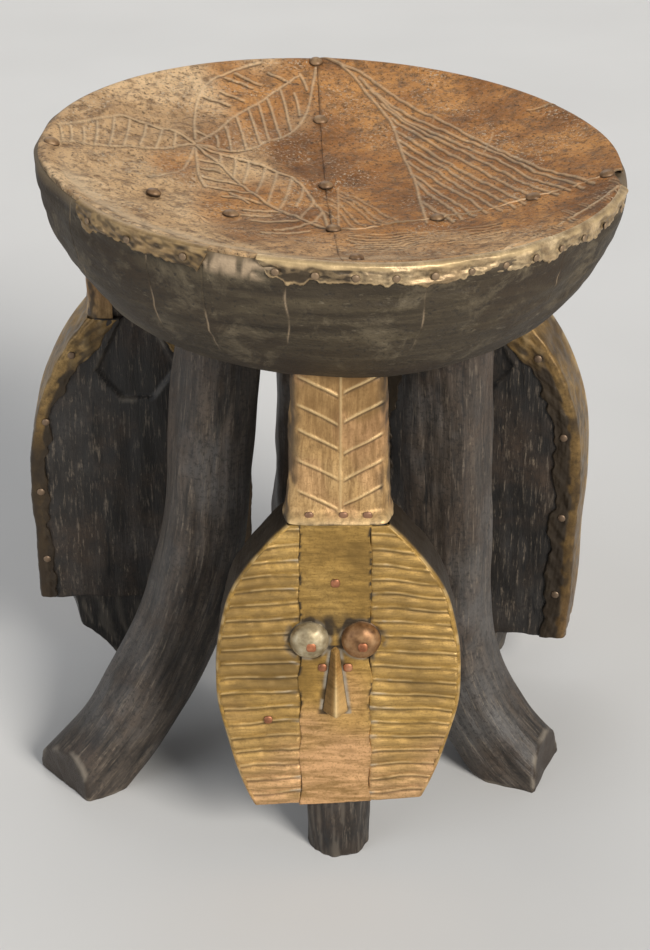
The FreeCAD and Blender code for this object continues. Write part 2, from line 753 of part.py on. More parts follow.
class Figure:
    """One figure leg: its own sizes and the frame in which all its pieces are drawn."""

    def __init__(self, name):
        self.name = name
        self.bottom = size(name + "_board_bottom")
        self.top = size("seat_height") - size(name + "_board_drop")
        self.top_rule = f"(sizes.seat_height - sizes.{name}_board_drop)"
        self.widest = self.bottom + size(name + "_widest_share") * (self.top - self.bottom)
        self.half = size("seat_radius") * size(name + "_half_width_share")
        self.half_rule = f"sizes.seat_radius * sizes.{name}_half_width_share"
        self.foot_half = size("seat_radius") * size(name + "_bottom_half_width_share")
        self.neck = size("post_half_width")
        self.face = size("board_front") + size("sheet_gap") + size("sheet_thickness")
        spot = vector(size(name + "_x_share"), size(name + "_y_share"))
        base = AXIS + spot * size("seat_radius")
        facing = turn(Z_AXIS, size(name + "_yaw_angle")).multiply(turn(X_AXIS, -size(name + "_lean_angle")))
        self.frame = FreeCAD.Placement(base, facing)

    def at(self, x, y, z, rotation=None):
        """Placement at a point of the figure's own frame."""
        local = FreeCAD.Placement(vector(x, y, z), rotation or FreeCAD.Rotation())
        return self.frame.multiply(local)

    def half_width(self, height, grow=0.0):
        """Half width of the board at a height: two arcs that meet upright at the widest point."""
        end = (self.neck, self.top) if height > self.widest else (self.foot_half, self.bottom)
        across = self.half - end[0]
        rise = abs(end[1] - self.widest)
        radius = (across**2 + rise**2) / (2 * across)
        return self.half + grow - radius + math.sqrt(radius**2 - (height - self.widest) ** 2)

    def side_arcs(self, side, grow, start, end):
        """The board's edge on one side, from the height start up to the height end."""
        heights = [start, (start + self.widest) / 2, self.widest, (self.widest + end) / 2, end]
        points = [vector(side * self.half_width(z, grow), z) for z in heights]
        return [arc(points[0], points[1], points[2]), arc(points[2], points[3], points[4])]

    def outline(self, grow=0.0, bottom=None, top=None):
        """Whole outline of the board, widened by grow on both sides."""
        low = self.bottom if bottom is None else bottom
        high = self.top if top is None else top
        right = self.side_arcs(1, grow, low, high)
        left = self.side_arcs(-1, grow, low, high)
        foot = line(left[0].StartPoint, right[0].StartPoint)
        crown = line(right[1].EndPoint, left[1].EndPoint)
        return [foot, right[0], right[1], crown, left[1], left[0]]

    def slab(self, name, curves, depth_rule, back_rule):
        """Flat slab with a given outline: its back face is at the local depth of back_rule."""
        body = add_body(f"{self.name}_{name}", self.frame)
        sketch = add_sketch(body, f"{self.name}_{name}_outline", "XZ_Plane", back_rule)
        add_outline(sketch, curves)
        pad(body, sketch, f"{self.name}_{name}_pad", depth_rule)
        return body

    def board(self):
        """Head board with its full thickness."""
        return self.slab(
            "board", self.outline(), "sizes.board_front + sizes.board_back", "-sizes.board_back"
        )

    def post_prism(self, name, base_rule, grow="0 * sizes.sheet_gap", growth=0.0):
        """The post's rounded section, widened by the rule grow, from base_rule up into the seat."""
        body = add_body(f"{self.name}_{name}", self.frame)
        sketch = add_sketch(body, f"{self.name}_{name}_section", "XY_Plane", base_rule)
        rules = {
            "half": f"sizes.post_half_width + {grow}",
            "front": f"sizes.post_front + {grow}",
            "back": f"sizes.post_back + {grow}",
            "corner": f"sizes.post_corner_radius + {grow}",
        }
        add_rounded_rectangle(
            sketch,
            self.neck + growth,
            size("post_front") + growth,
            size("post_back") + growth,
            size("post_corner_radius") + growth,
            rules,
        )
        rise_rule = f"sizes.seat_height - sizes.leg_blank_drop - ({base_rule})"
        pad(body, sketch, f"{self.name}_{name}_pad", rise_rule)
        return body

    def recess(self):
        """Block that sinks the board's back to the back of the post, down to a ledge with slanted corners."""
        half = size("recess_half_width")
        foot = size("recess_foot_half_width")
        crown = size("recess_top_half_width")
        corner = self.top - size("recess_corner_drop")
        low = self.top - size("recess_drop")
        above = self.top + size("post_back")
        points = [
            (-crown, above), (-crown, self.top), (-half, corner), (-foot, low),
            (foot, low), (half, corner), (crown, self.top), (crown, above),
        ]
        curves = polygon([vector(x, z) for x, z in points])
        depth_rule = "2 * sizes.board_back - sizes.post_back"
        return self.slab("recess", curves, depth_rule, "-2 * sizes.board_back")

    def stub(self):
        """Round stub that stands on the floor, and the flare, as deep as the board, that joins them."""
        waist = f"sizes.{self.name}_stub_waist_height"
        stub = add(
            "Part::Cone",
            self.name + "_stub",
            self.at(0, 0, -size("stub_foot_radius")),
            Radius1="sizes.stub_foot_radius",
            Radius2=f"sizes.{self.name}_stub_waist_radius",
            Height=f"{waist} + sizes.stub_foot_radius",
        )
        flare = add(
            "Part::Cone",
            self.name + "_flare_cone",
            self.at(0, 0, size(self.name + "_stub_waist_height")),
            Radius1=f"sizes.{self.name}_stub_waist_radius",
            Radius2=f"sizes.{self.name}_stub_top_radius",
            Height=f"sizes.{self.name}_board_bottom - {waist}",
        )
        top_radius = size(self.name + "_stub_top_radius")
        depth = add(
            "Part::Box",
            self.name + "_flare_depth",
            self.at(-top_radius, -size("board_front"), 0),
            Length=f"2 * sizes.{self.name}_stub_top_radius",
            Width="sizes.board_front + sizes.board_back",
            Height=f"sizes.{self.name}_board_bottom",
        )
        return [stub, combine("Common", self.name + "_flare", flare, depth)]

    def core(self):
        """Wooden leg: tenon, post, head board and the round stub that stands on the floor."""
        mid_board = f"(sizes.{self.name}_board_bottom + {self.top_rule}) / 2"
        relieved = combine("Cut", self.name + "_relieved", self.board(), self.recess())
        carved = doc.addObject("Part::MultiFuse", self.name + "_carved")
        carved.Shapes = [relieved, self.post_prism("post", mid_board)] + self.stub()
        mid = (size("post_back") - size("post_front")) / 2
        rise = size("seat_height") - size("seat_depth")
        spot = self.at(0, mid, rise).Base - AXIS
        return tenoned("figure_" + self.name, carved, spot.x, spot.y)

    def post_sheet(self):
        """Sheet wrapped round the front and sides of the post, open along its back."""
        gap = size("sheet_gap")
        thick = size("sheet_thickness")
        hem = self.top_rule + " + sizes.seam_gap"
        skin = "sizes.sheet_gap + sizes.sheet_thickness"
        outer = self.post_prism("wrap_outside", hem, skin, gap + thick)
        inner = self.post_prism("wrap_inside", hem, "sizes.sheet_gap", gap)
        tube = combine("Cut", self.name + "_wrap_tube", outer, inner)
        side = 2 * (self.neck + size("post_back"))
        behind = add(
            "Part::Box",
            self.name + "_wrap_opening",
            self.at(-side / 2, size("wrap_back"), self.top),
            Length="2 * (sizes.post_half_width + sizes.post_back)",
            Width="2 * sizes.post_back",
            Height="sizes.seat_height",
        )
        wrap = combine("Cut", self.name + "_wrap", tube, behind)
        return combine("Common", self.name + "_post_sheet", wrap, ROOM)

    def face_band(self):
        """Plain band of sheet down the middle of the face."""
        return add(
            "Part::Box",
            self.name + "_face_band",
            self.at(size("face_offset") - size("band_width") / 2, -self.face, self.bottom),
            Length="sizes.band_width",
            Width="sizes.sheet_thickness",
            Height=f"{self.top_rule} - sizes.{self.name}_board_bottom",
        )

    def ribs(self):
        """Sheet pressed into level ribs, one crescent section repeated up the face."""
        body = add_body(self.name + "_ribs", self.frame)
        sketch = add_sketch(body, self.name + "_rib_section", "YZ_Plane", "-" + self.half_rule)
        pitch = size("rib_pitch")
        thick = size("sheet_thickness")
        crest = size("rib_height")
        back = -self.face + thick
        low = vector(back, self.bottom)
        high = vector(back, self.bottom + pitch)
        lift = vector(-thick, 0)
        middle = (low + high) * 0.5 + vector(-crest, 0)
        curves = [
            line(low, low + lift),
            arc(low + lift, middle + lift, high + lift),
            line(high + lift, high),
            arc(high, middle, low),
        ]
        add_outline(sketch, curves)
        sketch.addConstraint(Sketcher.Constraint("Horizontal", 0))
        dimension(sketch, "thickness", "sizes.sheet_thickness", "Distance", 0, thick)
        pad(body, sketch, self.name + "_rib_pad", "2 * " + self.half_rule)
        repeat = body.newObject("PartDesign::LinearPattern", self.name + "_rib_rows")
        repeat.Originals = [body.Tip]
        repeat.Direction = (sketch, ["V_Axis"])
        rows = math.ceil((self.top - self.bottom) / pitch)
        repeat.Length = (rows - 1) * pitch
        repeat.Occurrences = rows
        body.Tip = repeat
        return body

    def cheek_block(self, side):
        """Block that cuts one cheek out of the ribbed sheet, from the band to the edge."""
        edge = size("face_offset") + side * (size("band_width") / 2 + size("seam_gap"))
        arcs = self.side_arcs(side, 0.0, self.bottom, self.top)
        curves = [
            line(vector(edge, self.bottom), arcs[0].StartPoint),
            arcs[0],
            arcs[1],
            line(arcs[1].EndPoint, vector(edge, self.top)),
            line(vector(edge, self.top), vector(edge, self.bottom)),
        ]
        word = "left" if side < 0 else "right"
        return self.slab(
            f"cheek_{word}_block",
            curves,
            "2 * (sizes.sheet_thickness + sizes.rib_height)",
            "sizes.board_front",
        )

    def eye_spot(self, side, rise=0.0):
        """Placement on the face under an eye, with z pointing out of the face."""
        return self.at(
            size("face_offset") + side * size("eye_spacing") / 2,
            -self.face - rise,
            self.top - size("eye_drop"),
            turn(X_AXIS, 90),
        )

    def cheeks(self):
        """Two ribbed cheeks, each with a round bite where the eye boss sits."""
        rib_sheet = self.ribs()
        bites = group(
            self.name + "_eye_bites",
            [
                add(
                    "Part::Cylinder",
                    f"{self.name}_eye_bite_{word}",
                    self.eye_spot(side, -2 * size("sheet_thickness")),
                    Radius="sizes.eye_radius + sizes.sheet_gap",
                    Height="sizes.eye_height",
                )
                for word, side in (("left", -1), ("right", 1))
            ],
        )
        pieces = []
        for word, side in (("left", -1), ("right", 1)):
            name = f"{self.name}_cheek_{word}"
            trimmed = combine("Common", name + "_trimmed", rib_sheet, self.cheek_block(side))
            pieces.append(combine("Cut", name, trimmed, bites))
        return pieces

    def eye(self, word, side):
        """Domed eye boss raised from sheet, hollow behind."""
        name = f"{self.name}_eye_{word}"
        dome = add(
            "Part::Ellipsoid",
            name + "_dome",
            self.eye_spot(side),
            Radius1="sizes.eye_height",
            Radius2="sizes.eye_radius",
            Radius3="sizes.eye_radius",
        )
        dome.Angle1 = 0
        hollow = add(
            "Part::Ellipsoid",
            name + "_hollow",
            self.eye_spot(side),
            Radius1="sizes.eye_height - sizes.sheet_thickness",
            Radius2="sizes.eye_radius - sizes.sheet_thickness",
            Radius3="sizes.eye_radius - sizes.sheet_thickness",
        )
        return combine("Cut", name, dome, hollow)

    def nose(self):
        """Wedge-shaped nose: a ridge that widens and rises towards its foot."""
        body = add_body(self.name + "_nose", self.at(size("face_offset"), -self.face, 0))
        nose_rule = self.top_rule + " - sizes.nose_top_drop"
        spots = [
            ("top", "nose_top_half_width", "nose_top_height", nose_rule),
            ("foot", "nose_foot_half_width", "nose_height", nose_rule + " - sizes.nose_length"),
        ]
        sections = []
        for word, alias, rise, height_rule in spots:
            sketch = add_sketch(body, f"{self.name}_nose_{word}", "XY_Plane", height_rule)
            half = size(alias)
            ridge = size(rise)
            add_outline(sketch, polygon([vector(-half, 0), vector(0, -ridge), vector(half, 0)]))
            sketch.addConstraint(Sketcher.Constraint("Horizontal", 2))
            dimension(sketch, "base", f"2 * sizes.{alias}", "Distance", 2, 2 * half)
            sections.append(sketch)
        loft = body.newObject("PartDesign::AdditiveLoft", self.name + "_nose_loft")
        loft.Profile = sections[0]
        loft.Sections = [sections[1]]
        loft.Ruled = True
        return body

    def edge_fold(self):
        """Sheet wrapped round the board's edge with a margin turned over on its back."""
        gap = size("sheet_gap")
        thick = size("sheet_thickness")
        margin = size("fold_margin")
        outer = self.slab(
            "fold_outside",
            self.outline(gap + thick),
            "sizes.board_front + sizes.board_back + 2 * (sizes.sheet_gap + sizes.sheet_thickness)",
            "-sizes.board_back - sizes.sheet_gap - sizes.sheet_thickness",
        )
        inner = self.slab(
            "fold_inside",
            self.outline(gap),
            "2 * sizes.board_front + sizes.board_back",
            "-sizes.board_back - sizes.sheet_gap",
        )
        window = self.slab(
            "fold_window",
            self.outline(-margin),
            "sizes.board_front",
            "-sizes.board_back - sizes.board_front",
        )
        channel = combine("Cut", self.name + "_fold_channel", outer, inner)
        return combine("Cut", self.name + "_edge_fold", channel, window)

    def pins(self):
        """Copper pins of the face, the pupils, the post's lower hem and the margin on the back."""
        forward = turn(X_AXIS, 90)
        backward = turn(X_AXIS, -90)
        crest = self.face + size("rib_height")
        post_face = size("post_front") + size("sheet_gap") + size("sheet_thickness")
        middle = size("face_offset")
        beside_nose = size("eye_spacing") / 4
        below_eyes = self.top - size("eye_drop") - size("eye_radius") - 3 * size("pin_head_radius")
        hem = self.top + 2 * size("pin_head_radius")
        spots = [
            self.at(middle, -self.face, self.top - size("eye_drop") / 2, forward),
            self.at(middle - beside_nose, -self.face, below_eyes, forward),
            self.at(middle + beside_nose, -self.face, below_eyes, forward),
            self.eye_spot(-1, size("eye_height")),
            self.eye_spot(1, size("eye_height")),
            self.at(-size("cheek_pin_reach"), -crest, self.bottom + size("cheek_pin_height"), forward),
        ]
        for share in HEM_PIN_SHARES:
            spots.append(self.at(share * self.neck, -post_face, hem, forward))
        behind = size("board_back") + size("sheet_gap") + size("sheet_thickness")
        for share in MARGIN_PIN_SHARES:
            height = self.bottom + share * (self.top - self.bottom)
            reach = self.half_width(height) - size("fold_margin") / 2
            for side in (-1, 1):
                spots.append(self.at(side * reach, behind, height, backward))
        pins = [pin(f"{self.name}_pin_{index}", spot) for index, spot in enumerate(spots)]
        return group(self.name + "_pins", pins)

    def pieces(self):
        made = [self.core(), self.post_sheet(), self.face_band(), *self.cheeks()]
        made += [self.eye("left", -1), self.eye("right", 1), self.nose(), self.edge_fold(), self.pins()]
        return made


def seat_bowl(holes):
    """The wooden seat: its blank hollowed by the dish, with six mortises and the tack holes."""
    dish = combine(
        "Cut", "seat_hollowed", seat_blank("seat_solid", SEAT_FRAME), dish_ball("dish", DISH_RADIUS_RULE)
    )
    mortised = combine("Cut", "seat_mortised", dish, group("mortises", MORTISES))
    return combine("Cut", "seat_bowl", mortised, holes)


nodes = [plain_leg(name) for name in ("front_left", "front_right", "rear")]
for figure_name in ("front", "rear_left", "rear_right"):
    nodes += Figure(figure_name).pieces()
tack_holes = group("tack_holes", tack_shanks("tack_hole", "sizes.tack_shank_radius + sizes.shank_gap"))
nodes.append(seat_bowl(tack_holes))
nodes += seat_sheets(tack_holes)
nodes.append(rim_strip("rim_strip", size("rim_strip_start_angle"), "sizes.rim_strip_sweep_angle"))
nodes.append(rim_strip("rim_patch", size("rim_patch_start_angle"), "sizes.rim_patch_sweep_angle"))
nodes += [seat_tacks(), rim_pins()]
doc.recompute()

for item in doc.Objects:
    faults = {"Invalid", "Error"} & set(item.State)
    if faults:
        raise RuntimeError(f"{item.Name} did not build: {item.State}")
for node in nodes:
    node.Label = node.Name
    if node.Shape.isNull() or not node.Shape.isValid():
        raise RuntimeError(f"{node.Label} has no valid shape")

os.makedirs("parts", exist_ok=True)
whole = FreeCAD.BoundBox()
for node in nodes:
    node.Shape.exportStep(os.path.join("parts", node.Label + ".step"))
    whole.add(node.Shape.BoundBox)
    print(node.Label, len(node.Shape.Solids), "solids", round(node.Shape.Volume), "mm3")
print("nodes", len(nodes), "box", whole)
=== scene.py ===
# %% [markdown]
# # Dressing a carved six-legged stool
# The stool is a thick dished wooden seat lined with engraved copper sheet. Three plain bent legs
# and three legs carved as masks carry it. The solids of the construction are loaded first as a
# fixed frame. Each step below then lays a finished surface where its solid is, and gives it a
# finish made of nodes.

# %% Frame
import math
import bpy
import numpy as np
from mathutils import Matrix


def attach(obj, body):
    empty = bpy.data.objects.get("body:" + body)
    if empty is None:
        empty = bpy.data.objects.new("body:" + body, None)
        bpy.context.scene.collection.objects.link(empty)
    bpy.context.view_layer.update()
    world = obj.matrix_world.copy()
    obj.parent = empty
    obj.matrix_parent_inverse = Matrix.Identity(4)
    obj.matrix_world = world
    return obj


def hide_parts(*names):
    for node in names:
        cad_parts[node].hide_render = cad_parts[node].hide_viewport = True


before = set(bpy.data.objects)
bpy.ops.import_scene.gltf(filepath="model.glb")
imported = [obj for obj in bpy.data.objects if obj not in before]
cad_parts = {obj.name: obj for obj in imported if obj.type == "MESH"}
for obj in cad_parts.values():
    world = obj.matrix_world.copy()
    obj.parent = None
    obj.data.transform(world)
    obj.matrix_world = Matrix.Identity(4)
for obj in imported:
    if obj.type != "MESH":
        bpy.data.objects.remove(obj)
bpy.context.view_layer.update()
print("nodes in the frame:", len(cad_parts))

# %% [markdown]
# ## Rooms to draw in
# The seat is a little lower on its right side, and each mask leans and faces its own way. It is
# far easier to draw a piece upright at the origin and to carry it to its place at the end, so
# each of these rooms is a function from millimetres in the room to millimetres on the floor plan.

# %% Rooms
AXIS = np.array([13.9, -11.2, 0.0])
UP = np.array([0.0, 0.0, 1.0])
SEAT_HEIGHT = 398.0
SEAT_RADIUS = 170.0
TILT = math.radians(2.8)
BELLY_RADIUS, BELLY_CENTRE = 282.0, 168.0
SHOULDER_RADIUS, SHOULDER_OUT = 100.0, 70.0
ARCS_MEET = 108.5
FRONT_MASK = dict(
    x=3, y=-126, yaw=0, lean=5.1, bottom=42, top=223,
    widest=133.4, half=70.3, foot=48.5, stub=19, margin=12,
)
REAR_LEFT_MASK = dict(
    x=-125, y=58, yaw=184, lean=1, bottom=73, top=276,
    widest=160, half=70, foot=69, stub=56, margin=9.5,
)
REAR_RIGHT_MASK = dict(
    x=94, y=68, yaw=166, lean=1, bottom=40, top=276,
    widest=172, half=70, foot=66, stub=28, margin=16,
)
FIGURES = {"front": FRONT_MASK, "rear_left": REAR_LEFT_MASK, "rear_right": REAR_RIGHT_MASK}


def turned(points, axis, angle):
    """Points turned about one axis: the two others become (a cos - b sin, a sin + b cos)."""
    first, second = [(1, 2), (2, 0), (0, 1)][axis]
    out = np.array(points, float)
    a, b = out[..., first].copy(), out[..., second].copy()
    out[..., first] = a * math.cos(angle) - b * math.sin(angle)
    out[..., second] = a * math.sin(angle) + b * math.cos(angle)
    return out


def from_seat(points):
    """Seat room to stool: tilted about y, then lifted to the height of the rim."""
    return turned(points, 1, TILT) + AXIS + [0, 0, SEAT_HEIGHT]


def from_figure(figure, points):
    """Mask room to stool: leaned back about x, turned to its own facing, then set on its foot."""
    leaned = turned(points, 0, -math.radians(figure["lean"]))
    faced_out = turned(leaned, 2, math.radians(figure["yaw"]))
    return faced_out + AXIS + [figure["x"], figure["y"], 0]


def underside(x, y):
    """Height of the seat's underside: a broad arc in the middle, a shoulder arc outside it."""
    reach = np.hypot(x - AXIS[0], y - AXIS[1])
    belly = BELLY_CENTRE - np.sqrt(np.maximum(BELLY_RADIUS**2 - reach**2, 0))
    shoulder = -np.sqrt(np.maximum(SHOULDER_RADIUS**2 - (reach - SHOULDER_OUT) ** 2, 0))
    level = SEAT_HEIGHT - (x - AXIS[0]) * math.tan(TILT)
    return level + np.where(reach < ARCS_MEET, belly, shoulder)


print("rooms:", ", ".join(["seat", *FIGURES]))

# %% [markdown]
# ## Unevenness of handwork
# Nothing on this stool is straight. A few plane waves with random headings add up to a smooth
# unevenness that is the same on every run. It moves points, so dents and waves are real shape
# that also holds in other light.

# %% Unevenness
WAVES = 9


def wander(points, length, seed):
    """Smooth noise of about -1 to 1: a sum of sines of (heading . point + phase), whose headings
    are random and whose wavelengths are near length."""
    rng = np.random.default_rng(seed)
    points = np.asarray(points, float)
    if points.ndim == 1:
        points = points[:, None]
    headings = rng.normal(size=(WAVES, points.shape[-1]))
    headings /= np.linalg.norm(headings, axis=1, keepdims=True)
    headings *= 2 * math.pi / (length * rng.uniform(0.6, 1.7, (WAVES, 1)))
    phases = rng.uniform(0, 2 * math.pi, WAVES)
    return np.sin(points @ headings.T + phases).sum(-1) * 1.2 / math.sqrt(WAVES)


def smooth(low, high, value):
    """0 below low, 1 above high, with an S-shaped way between: 3t^2 - 2t^3."""
    t = np.clip((np.asarray(value, float) - low) / (high - low), 0, 1)
    return t * t * (3 - 2 * t)


print("unevenness at three points:", np.round(wander(np.arange(3.0), 2.0, 1), 2))

# %% [markdown]
# ## From grids to pieces
# Every surface below is a grid of points. Neighbours in the grid make four-sided faces, a ring
# can close on itself, and a ring at an end can be closed by a fan to its middle. Marks such as
# the pale of the cuts, grime, painted shade and painted highlights are stored on the points, where
# the finishes read them. A wooden piece also stores where each point lies along and across its
# fibres.

# %% Grids


def grid(points, ring=False, caps=(False, False), fibre=None, **marks):
    """Patch of rows x columns points; ring joins the last column to the first, caps close the
    end rows, and fibre and marks are values on the points."""
    rows, columns = points.shape[:2]
    index = np.arange(rows * columns).reshape(rows, columns)
    if ring:
        index = np.concatenate([index, index[:, :1]], axis=1)
    corners = [index[:-1, :-1], index[:-1, 1:], index[1:, 1:], index[1:, :-1]]
    quads = np.stack(corners, -1).reshape(-1, 4)
    flat = points.reshape(-1, 3)
    along = None if fibre is None else np.broadcast_to(fibre, points.shape).reshape(-1, 3)
    values = {k: np.broadcast_to(v, (rows, columns)).reshape(-1) for k, v in marks.items()}
    tris = [np.zeros((0, 3), int)]
    for wanted, row, flip in ((caps[0], 0, False), (caps[1], rows - 1, True)):
        if wanted:
            first = row * columns
            hub = np.full(index.shape[1] - 1, len(flat))
            flat = np.vstack([flat, points[row].mean(0)])
            along = None if fibre is None else np.vstack([along, along[first]])
            values = {k: np.append(v, v[first]) for k, v in values.items()}
            fan = np.stack([hub, index[row, 1:], index[row, :-1]], -1)
            tris.append(fan[:, ::-1] if flip else fan)
    return dict(points=flat, quads=quads, tris=np.vstack(tris), marks=values, fibre=along)


def faced(patch, way=None):
    """The patch with its faces outward: a closed one by its signed volume, an open one towards
    way."""
    p, q = patch["points"], patch["quads"]
    three = np.vstack([q[:, [0, 1, 2]], q[:, [0, 2, 3]], patch["tris"]])
    a, b, c = p[three[:, 0]], p[three[:, 1]], p[three[:, 2]]
    normal = np.cross(b - a, c - a)
    amount = (a * normal).sum() if way is None else (normal.sum(0) * way).sum()
    if amount < 0:
        patch["quads"], patch["tris"] = q[:, ::-1], patch["tris"][:, ::-1]
    return patch


def joined(patches):
    """Several patches as one: their points one after another, their faces shifted to match."""
    counts = [len(p["points"]) for p in patches]
    shift = np.cumsum([0] + counts)
    names = sorted(set().union(*[p["marks"] for p in patches]))
    marks = {
        name: np.concatenate([p["marks"].get(name, np.zeros(n)) for p, n in zip(patches, counts)])
        for name in names
    }
    bare = any(p["fibre"] is None for p in patches)
    return dict(
        points=np.vstack([p["points"] for p in patches]),
        quads=np.vstack([p["quads"] + s for p, s in zip(patches, shift)]),
        tris=np.vstack([p["tris"] + s for p, s in zip(patches, shift)]),
        marks=marks,
        fibre=None if bare else np.vstack([p["fibre"] for p in patches]),
    )


def add_piece(name, patch, finish, slot, node):
    """Writes a patch into a mesh in metres, gives it its finish, and lets it stand for a solid."""
    mesh = bpy.data.meshes.new(name)
    quads, tris = patch["quads"], patch["tris"]
    mesh.vertices.add(len(patch["points"]))
    mesh.vertices.foreach_set("co", (patch["points"] * 0.001).astype(np.float32).ravel())
    corners = np.concatenate([quads.ravel(), tris.ravel()]).astype(np.int32)
    mesh.loops.add(len(corners))
    mesh.loops.foreach_set("vertex_index", corners)
    starts = np.concatenate(
        [np.arange(len(quads)) * 4, 4 * len(quads) + np.arange(len(tris)) * 3]
    )
    mesh.polygons.add(len(starts))
    mesh.polygons.foreach_set("loop_start", starts.astype(np.int32))
    mesh.polygons.foreach_set("use_smooth", np.ones(len(starts), bool))
    mesh.update(calc_edges=True)
    for mark, values in patch["marks"].items():
        layer = mesh.attributes.new(mark, "FLOAT", "POINT")
        layer.data.foreach_set("value", np.asarray(values, np.float32))
    if patch["fibre"] is not None:
        layer = mesh.attributes.new("fibre", "FLOAT_VECTOR", "POINT")
        layer.data.foreach_set("vector", (patch["fibre"] * 0.001).astype(np.float32).ravel())
    mesh.materials.append(finish)
    piece = bpy.data.objects.new(name, mesh)
    bpy.context.scene.collection.objects.link(piece)
    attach(piece, "root")
    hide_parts(node)
    print(f"{name}: {2 * len(quads) + len(tris)} triangles")


print("grid helpers:", ", ".join(made.__name__ for made in (grid, faced, joined, add_piece)))

# %% [markdown]
# ## A small language for finishes
# A finish is a chain of nodes: coordinates go into noise, noise goes into a colour ramp, and
# marks from the mesh mix in dirt and wear. These helpers add one node each, so a finish below
# reads as a short recipe.

# %% Finish helpers


class Finish:
    """A material under construction; each method adds one node and returns its output."""

    def __init__(self, name, metallic, specular, own=None):
        """A shader and its coordinates: the object's, or the piece's own attribute."""
        self.material = bpy.data.materials.new(name)
        self.material.use_nodes = True
        self.tree = self.material.node_tree
        self.shader = self.tree.nodes["Principled BSDF"]
        self.shader.inputs["Metallic"].default_value = metallic
        self.shader.inputs["Specular IOR Level"].default_value = specular
        if own is None:
            self.place = self.node("ShaderNodeTexCoord").outputs["Object"]
        else:
            self.place = self.node("ShaderNodeAttribute", attribute_name=own).outputs["Vector"]

    def node(self, kind, links=(), **settings):
        """Any node: settings are its properties, links are sockets or plain values by input."""
        made = self.tree.nodes.new(kind)
        for key, value in settings.items():
            setattr(made, key, value)
        for key, value in dict(links).items():
            if isinstance(value, bpy.types.NodeSocket):
                self.tree.links.new(value, made.inputs[key])
            else:
                made.inputs[key].default_value = value
        return made

    def stretched(self, scale):
        """Coordinates stretched by three factors, so that noise becomes grain or brushing."""
        links = {"Vector": self.place, "Scale": scale}
        return self.node("ShaderNodeMapping", links).outputs[0]

    def noise(self, scale, detail, rough, where=None, bend=0.0):
        """Cloudy noise of 0 to 1; bend swirls it."""
        links = {"Scale": scale, "Detail": detail, "Roughness": rough, "Distortion": bend}
        links["Vector"] = where or self.place
        return self.node("ShaderNodeTexNoise", links).outputs["Fac"]

    def mark(self, name):
        """A mark stored on the points of the mesh."""
        return self.node("ShaderNodeAttribute", attribute_name=name).outputs["Fac"]

    def ramp(self, value, *stops):
        """Colour by value: stops are (position, colour or grey)."""
        made = self.node("ShaderNodeValToRGB", {"Fac": value})
        band = made.color_ramp
        while len(band.elements) < len(stops):
            band.elements.new(0.5)
        for element, (position, colour) in zip(band.elements, stops):
            element.position = position
            grey = (colour, colour, colour) if isinstance(colour, (int, float)) else colour
            element.color = (*grey, 1.0)
        return made.outputs["Color"]

    def mix(self, amount, under, over):
        """The second colour laid over the first by amount."""
        socket = bpy.types.NodeSocket
        under, over = [c if isinstance(c, socket) else (*c, 1.0) for c in (under, over)]
        links = {0: amount, 6: under, 7: over}
        return self.node("ShaderNodeMix", links, data_type="RGBA").outputs[2]

    def times(self, first, second):
        """Product of two amounts."""
        links = {0: first, 1: second}
        return self.node("ShaderNodeMath", links, operation="MULTIPLY").outputs[0]

    def done(self, colour, roughness, height=None, depth=0.0):
        """Links colour, roughness and a fine bump, depth in metres, to the shader."""
        self.tree.links.new(colour, self.shader.inputs["Base Color"])
        self.tree.links.new(roughness, self.shader.inputs["Roughness"])
        if height is not None:
            links = {"Height": height, "Strength": 1.0, "Distance": depth}
            bump = self.node("ShaderNodeBump", links).outputs[0]
            self.tree.links.new(bump, self.shader.inputs["Normal"])
        return self.material


print("finish helpers:", ", ".join(k for k in vars(Finish) if not k.startswith("_")))

# %% [markdown]
# ## Wood finishes
# The seat is a grey-brown wood with level streaks, worn and dusty. The legs and the backs of the
# masks are nearly black, with upright grain, pale scuffs, brown where the black has worn off and
# grey patches of painted sheen that stand in for reflected light.
# Grain is noise that is squeezed across the fibre and stretched along it.

# %% Wood


def seat_wood():
    """Level streaks under clouds, blooms, pits and scuffs; the marks crack and edge are paler."""
    made = Finish("worn_seat_wood", 0.0, 0.3)
    streaks = made.noise(1.0, 7, 0.66, made.stretched((10, 10, 95)), 0.8)
    cloud = made.noise(14, 7, 0.68, None, 0.4)
    low, middle, high = (0.021, 0.015, 0.009), (0.048, 0.0355, 0.0205), (0.090, 0.069, 0.039)
    base = made.ramp(streaks, (0.28, low), (0.50, middle), (0.72, high))
    aged = made.mix(made.ramp(cloud, (0.44, 0.0), (0.62, 0.95)), base, (0.036, 0.024, 0.014))
    blooms = made.ramp(made.noise(36, 6, 0.72, None, 0.5), (0.53, 0.0), (0.70, 0.8))
    bloomed = made.mix(blooms, aged, (0.145, 0.115, 0.072))
    pits = made.noise(1.0, 3, 0.7, made.stretched((300, 300, 420)))
    pitted = made.mix(made.ramp(pits, (0.32, 0.75), (0.44, 0.0)), bloomed, (0.020, 0.016, 0.012))
    scuffs = made.noise(1.0, 4, 0.7, made.stretched((110, 110, 330)), 0.3)
    scuffed = made.mix(made.ramp(scuffs, (0.62, 0.0), (0.74, 0.5)), pitted, (0.24, 0.200, 0.135))
    cracked = made.mix(made.mark("crack"), scuffed, (0.40, 0.295, 0.19))
    dusty = made.mix(made.mark("edge"), cracked, (0.17, 0.125, 0.075))
    roughness = made.ramp(cloud, (0.3, 0.50), (0.7, 0.74))
    return made.done(dusty, roughness, made.mix(0.5, streaks, pits), 0.0016)


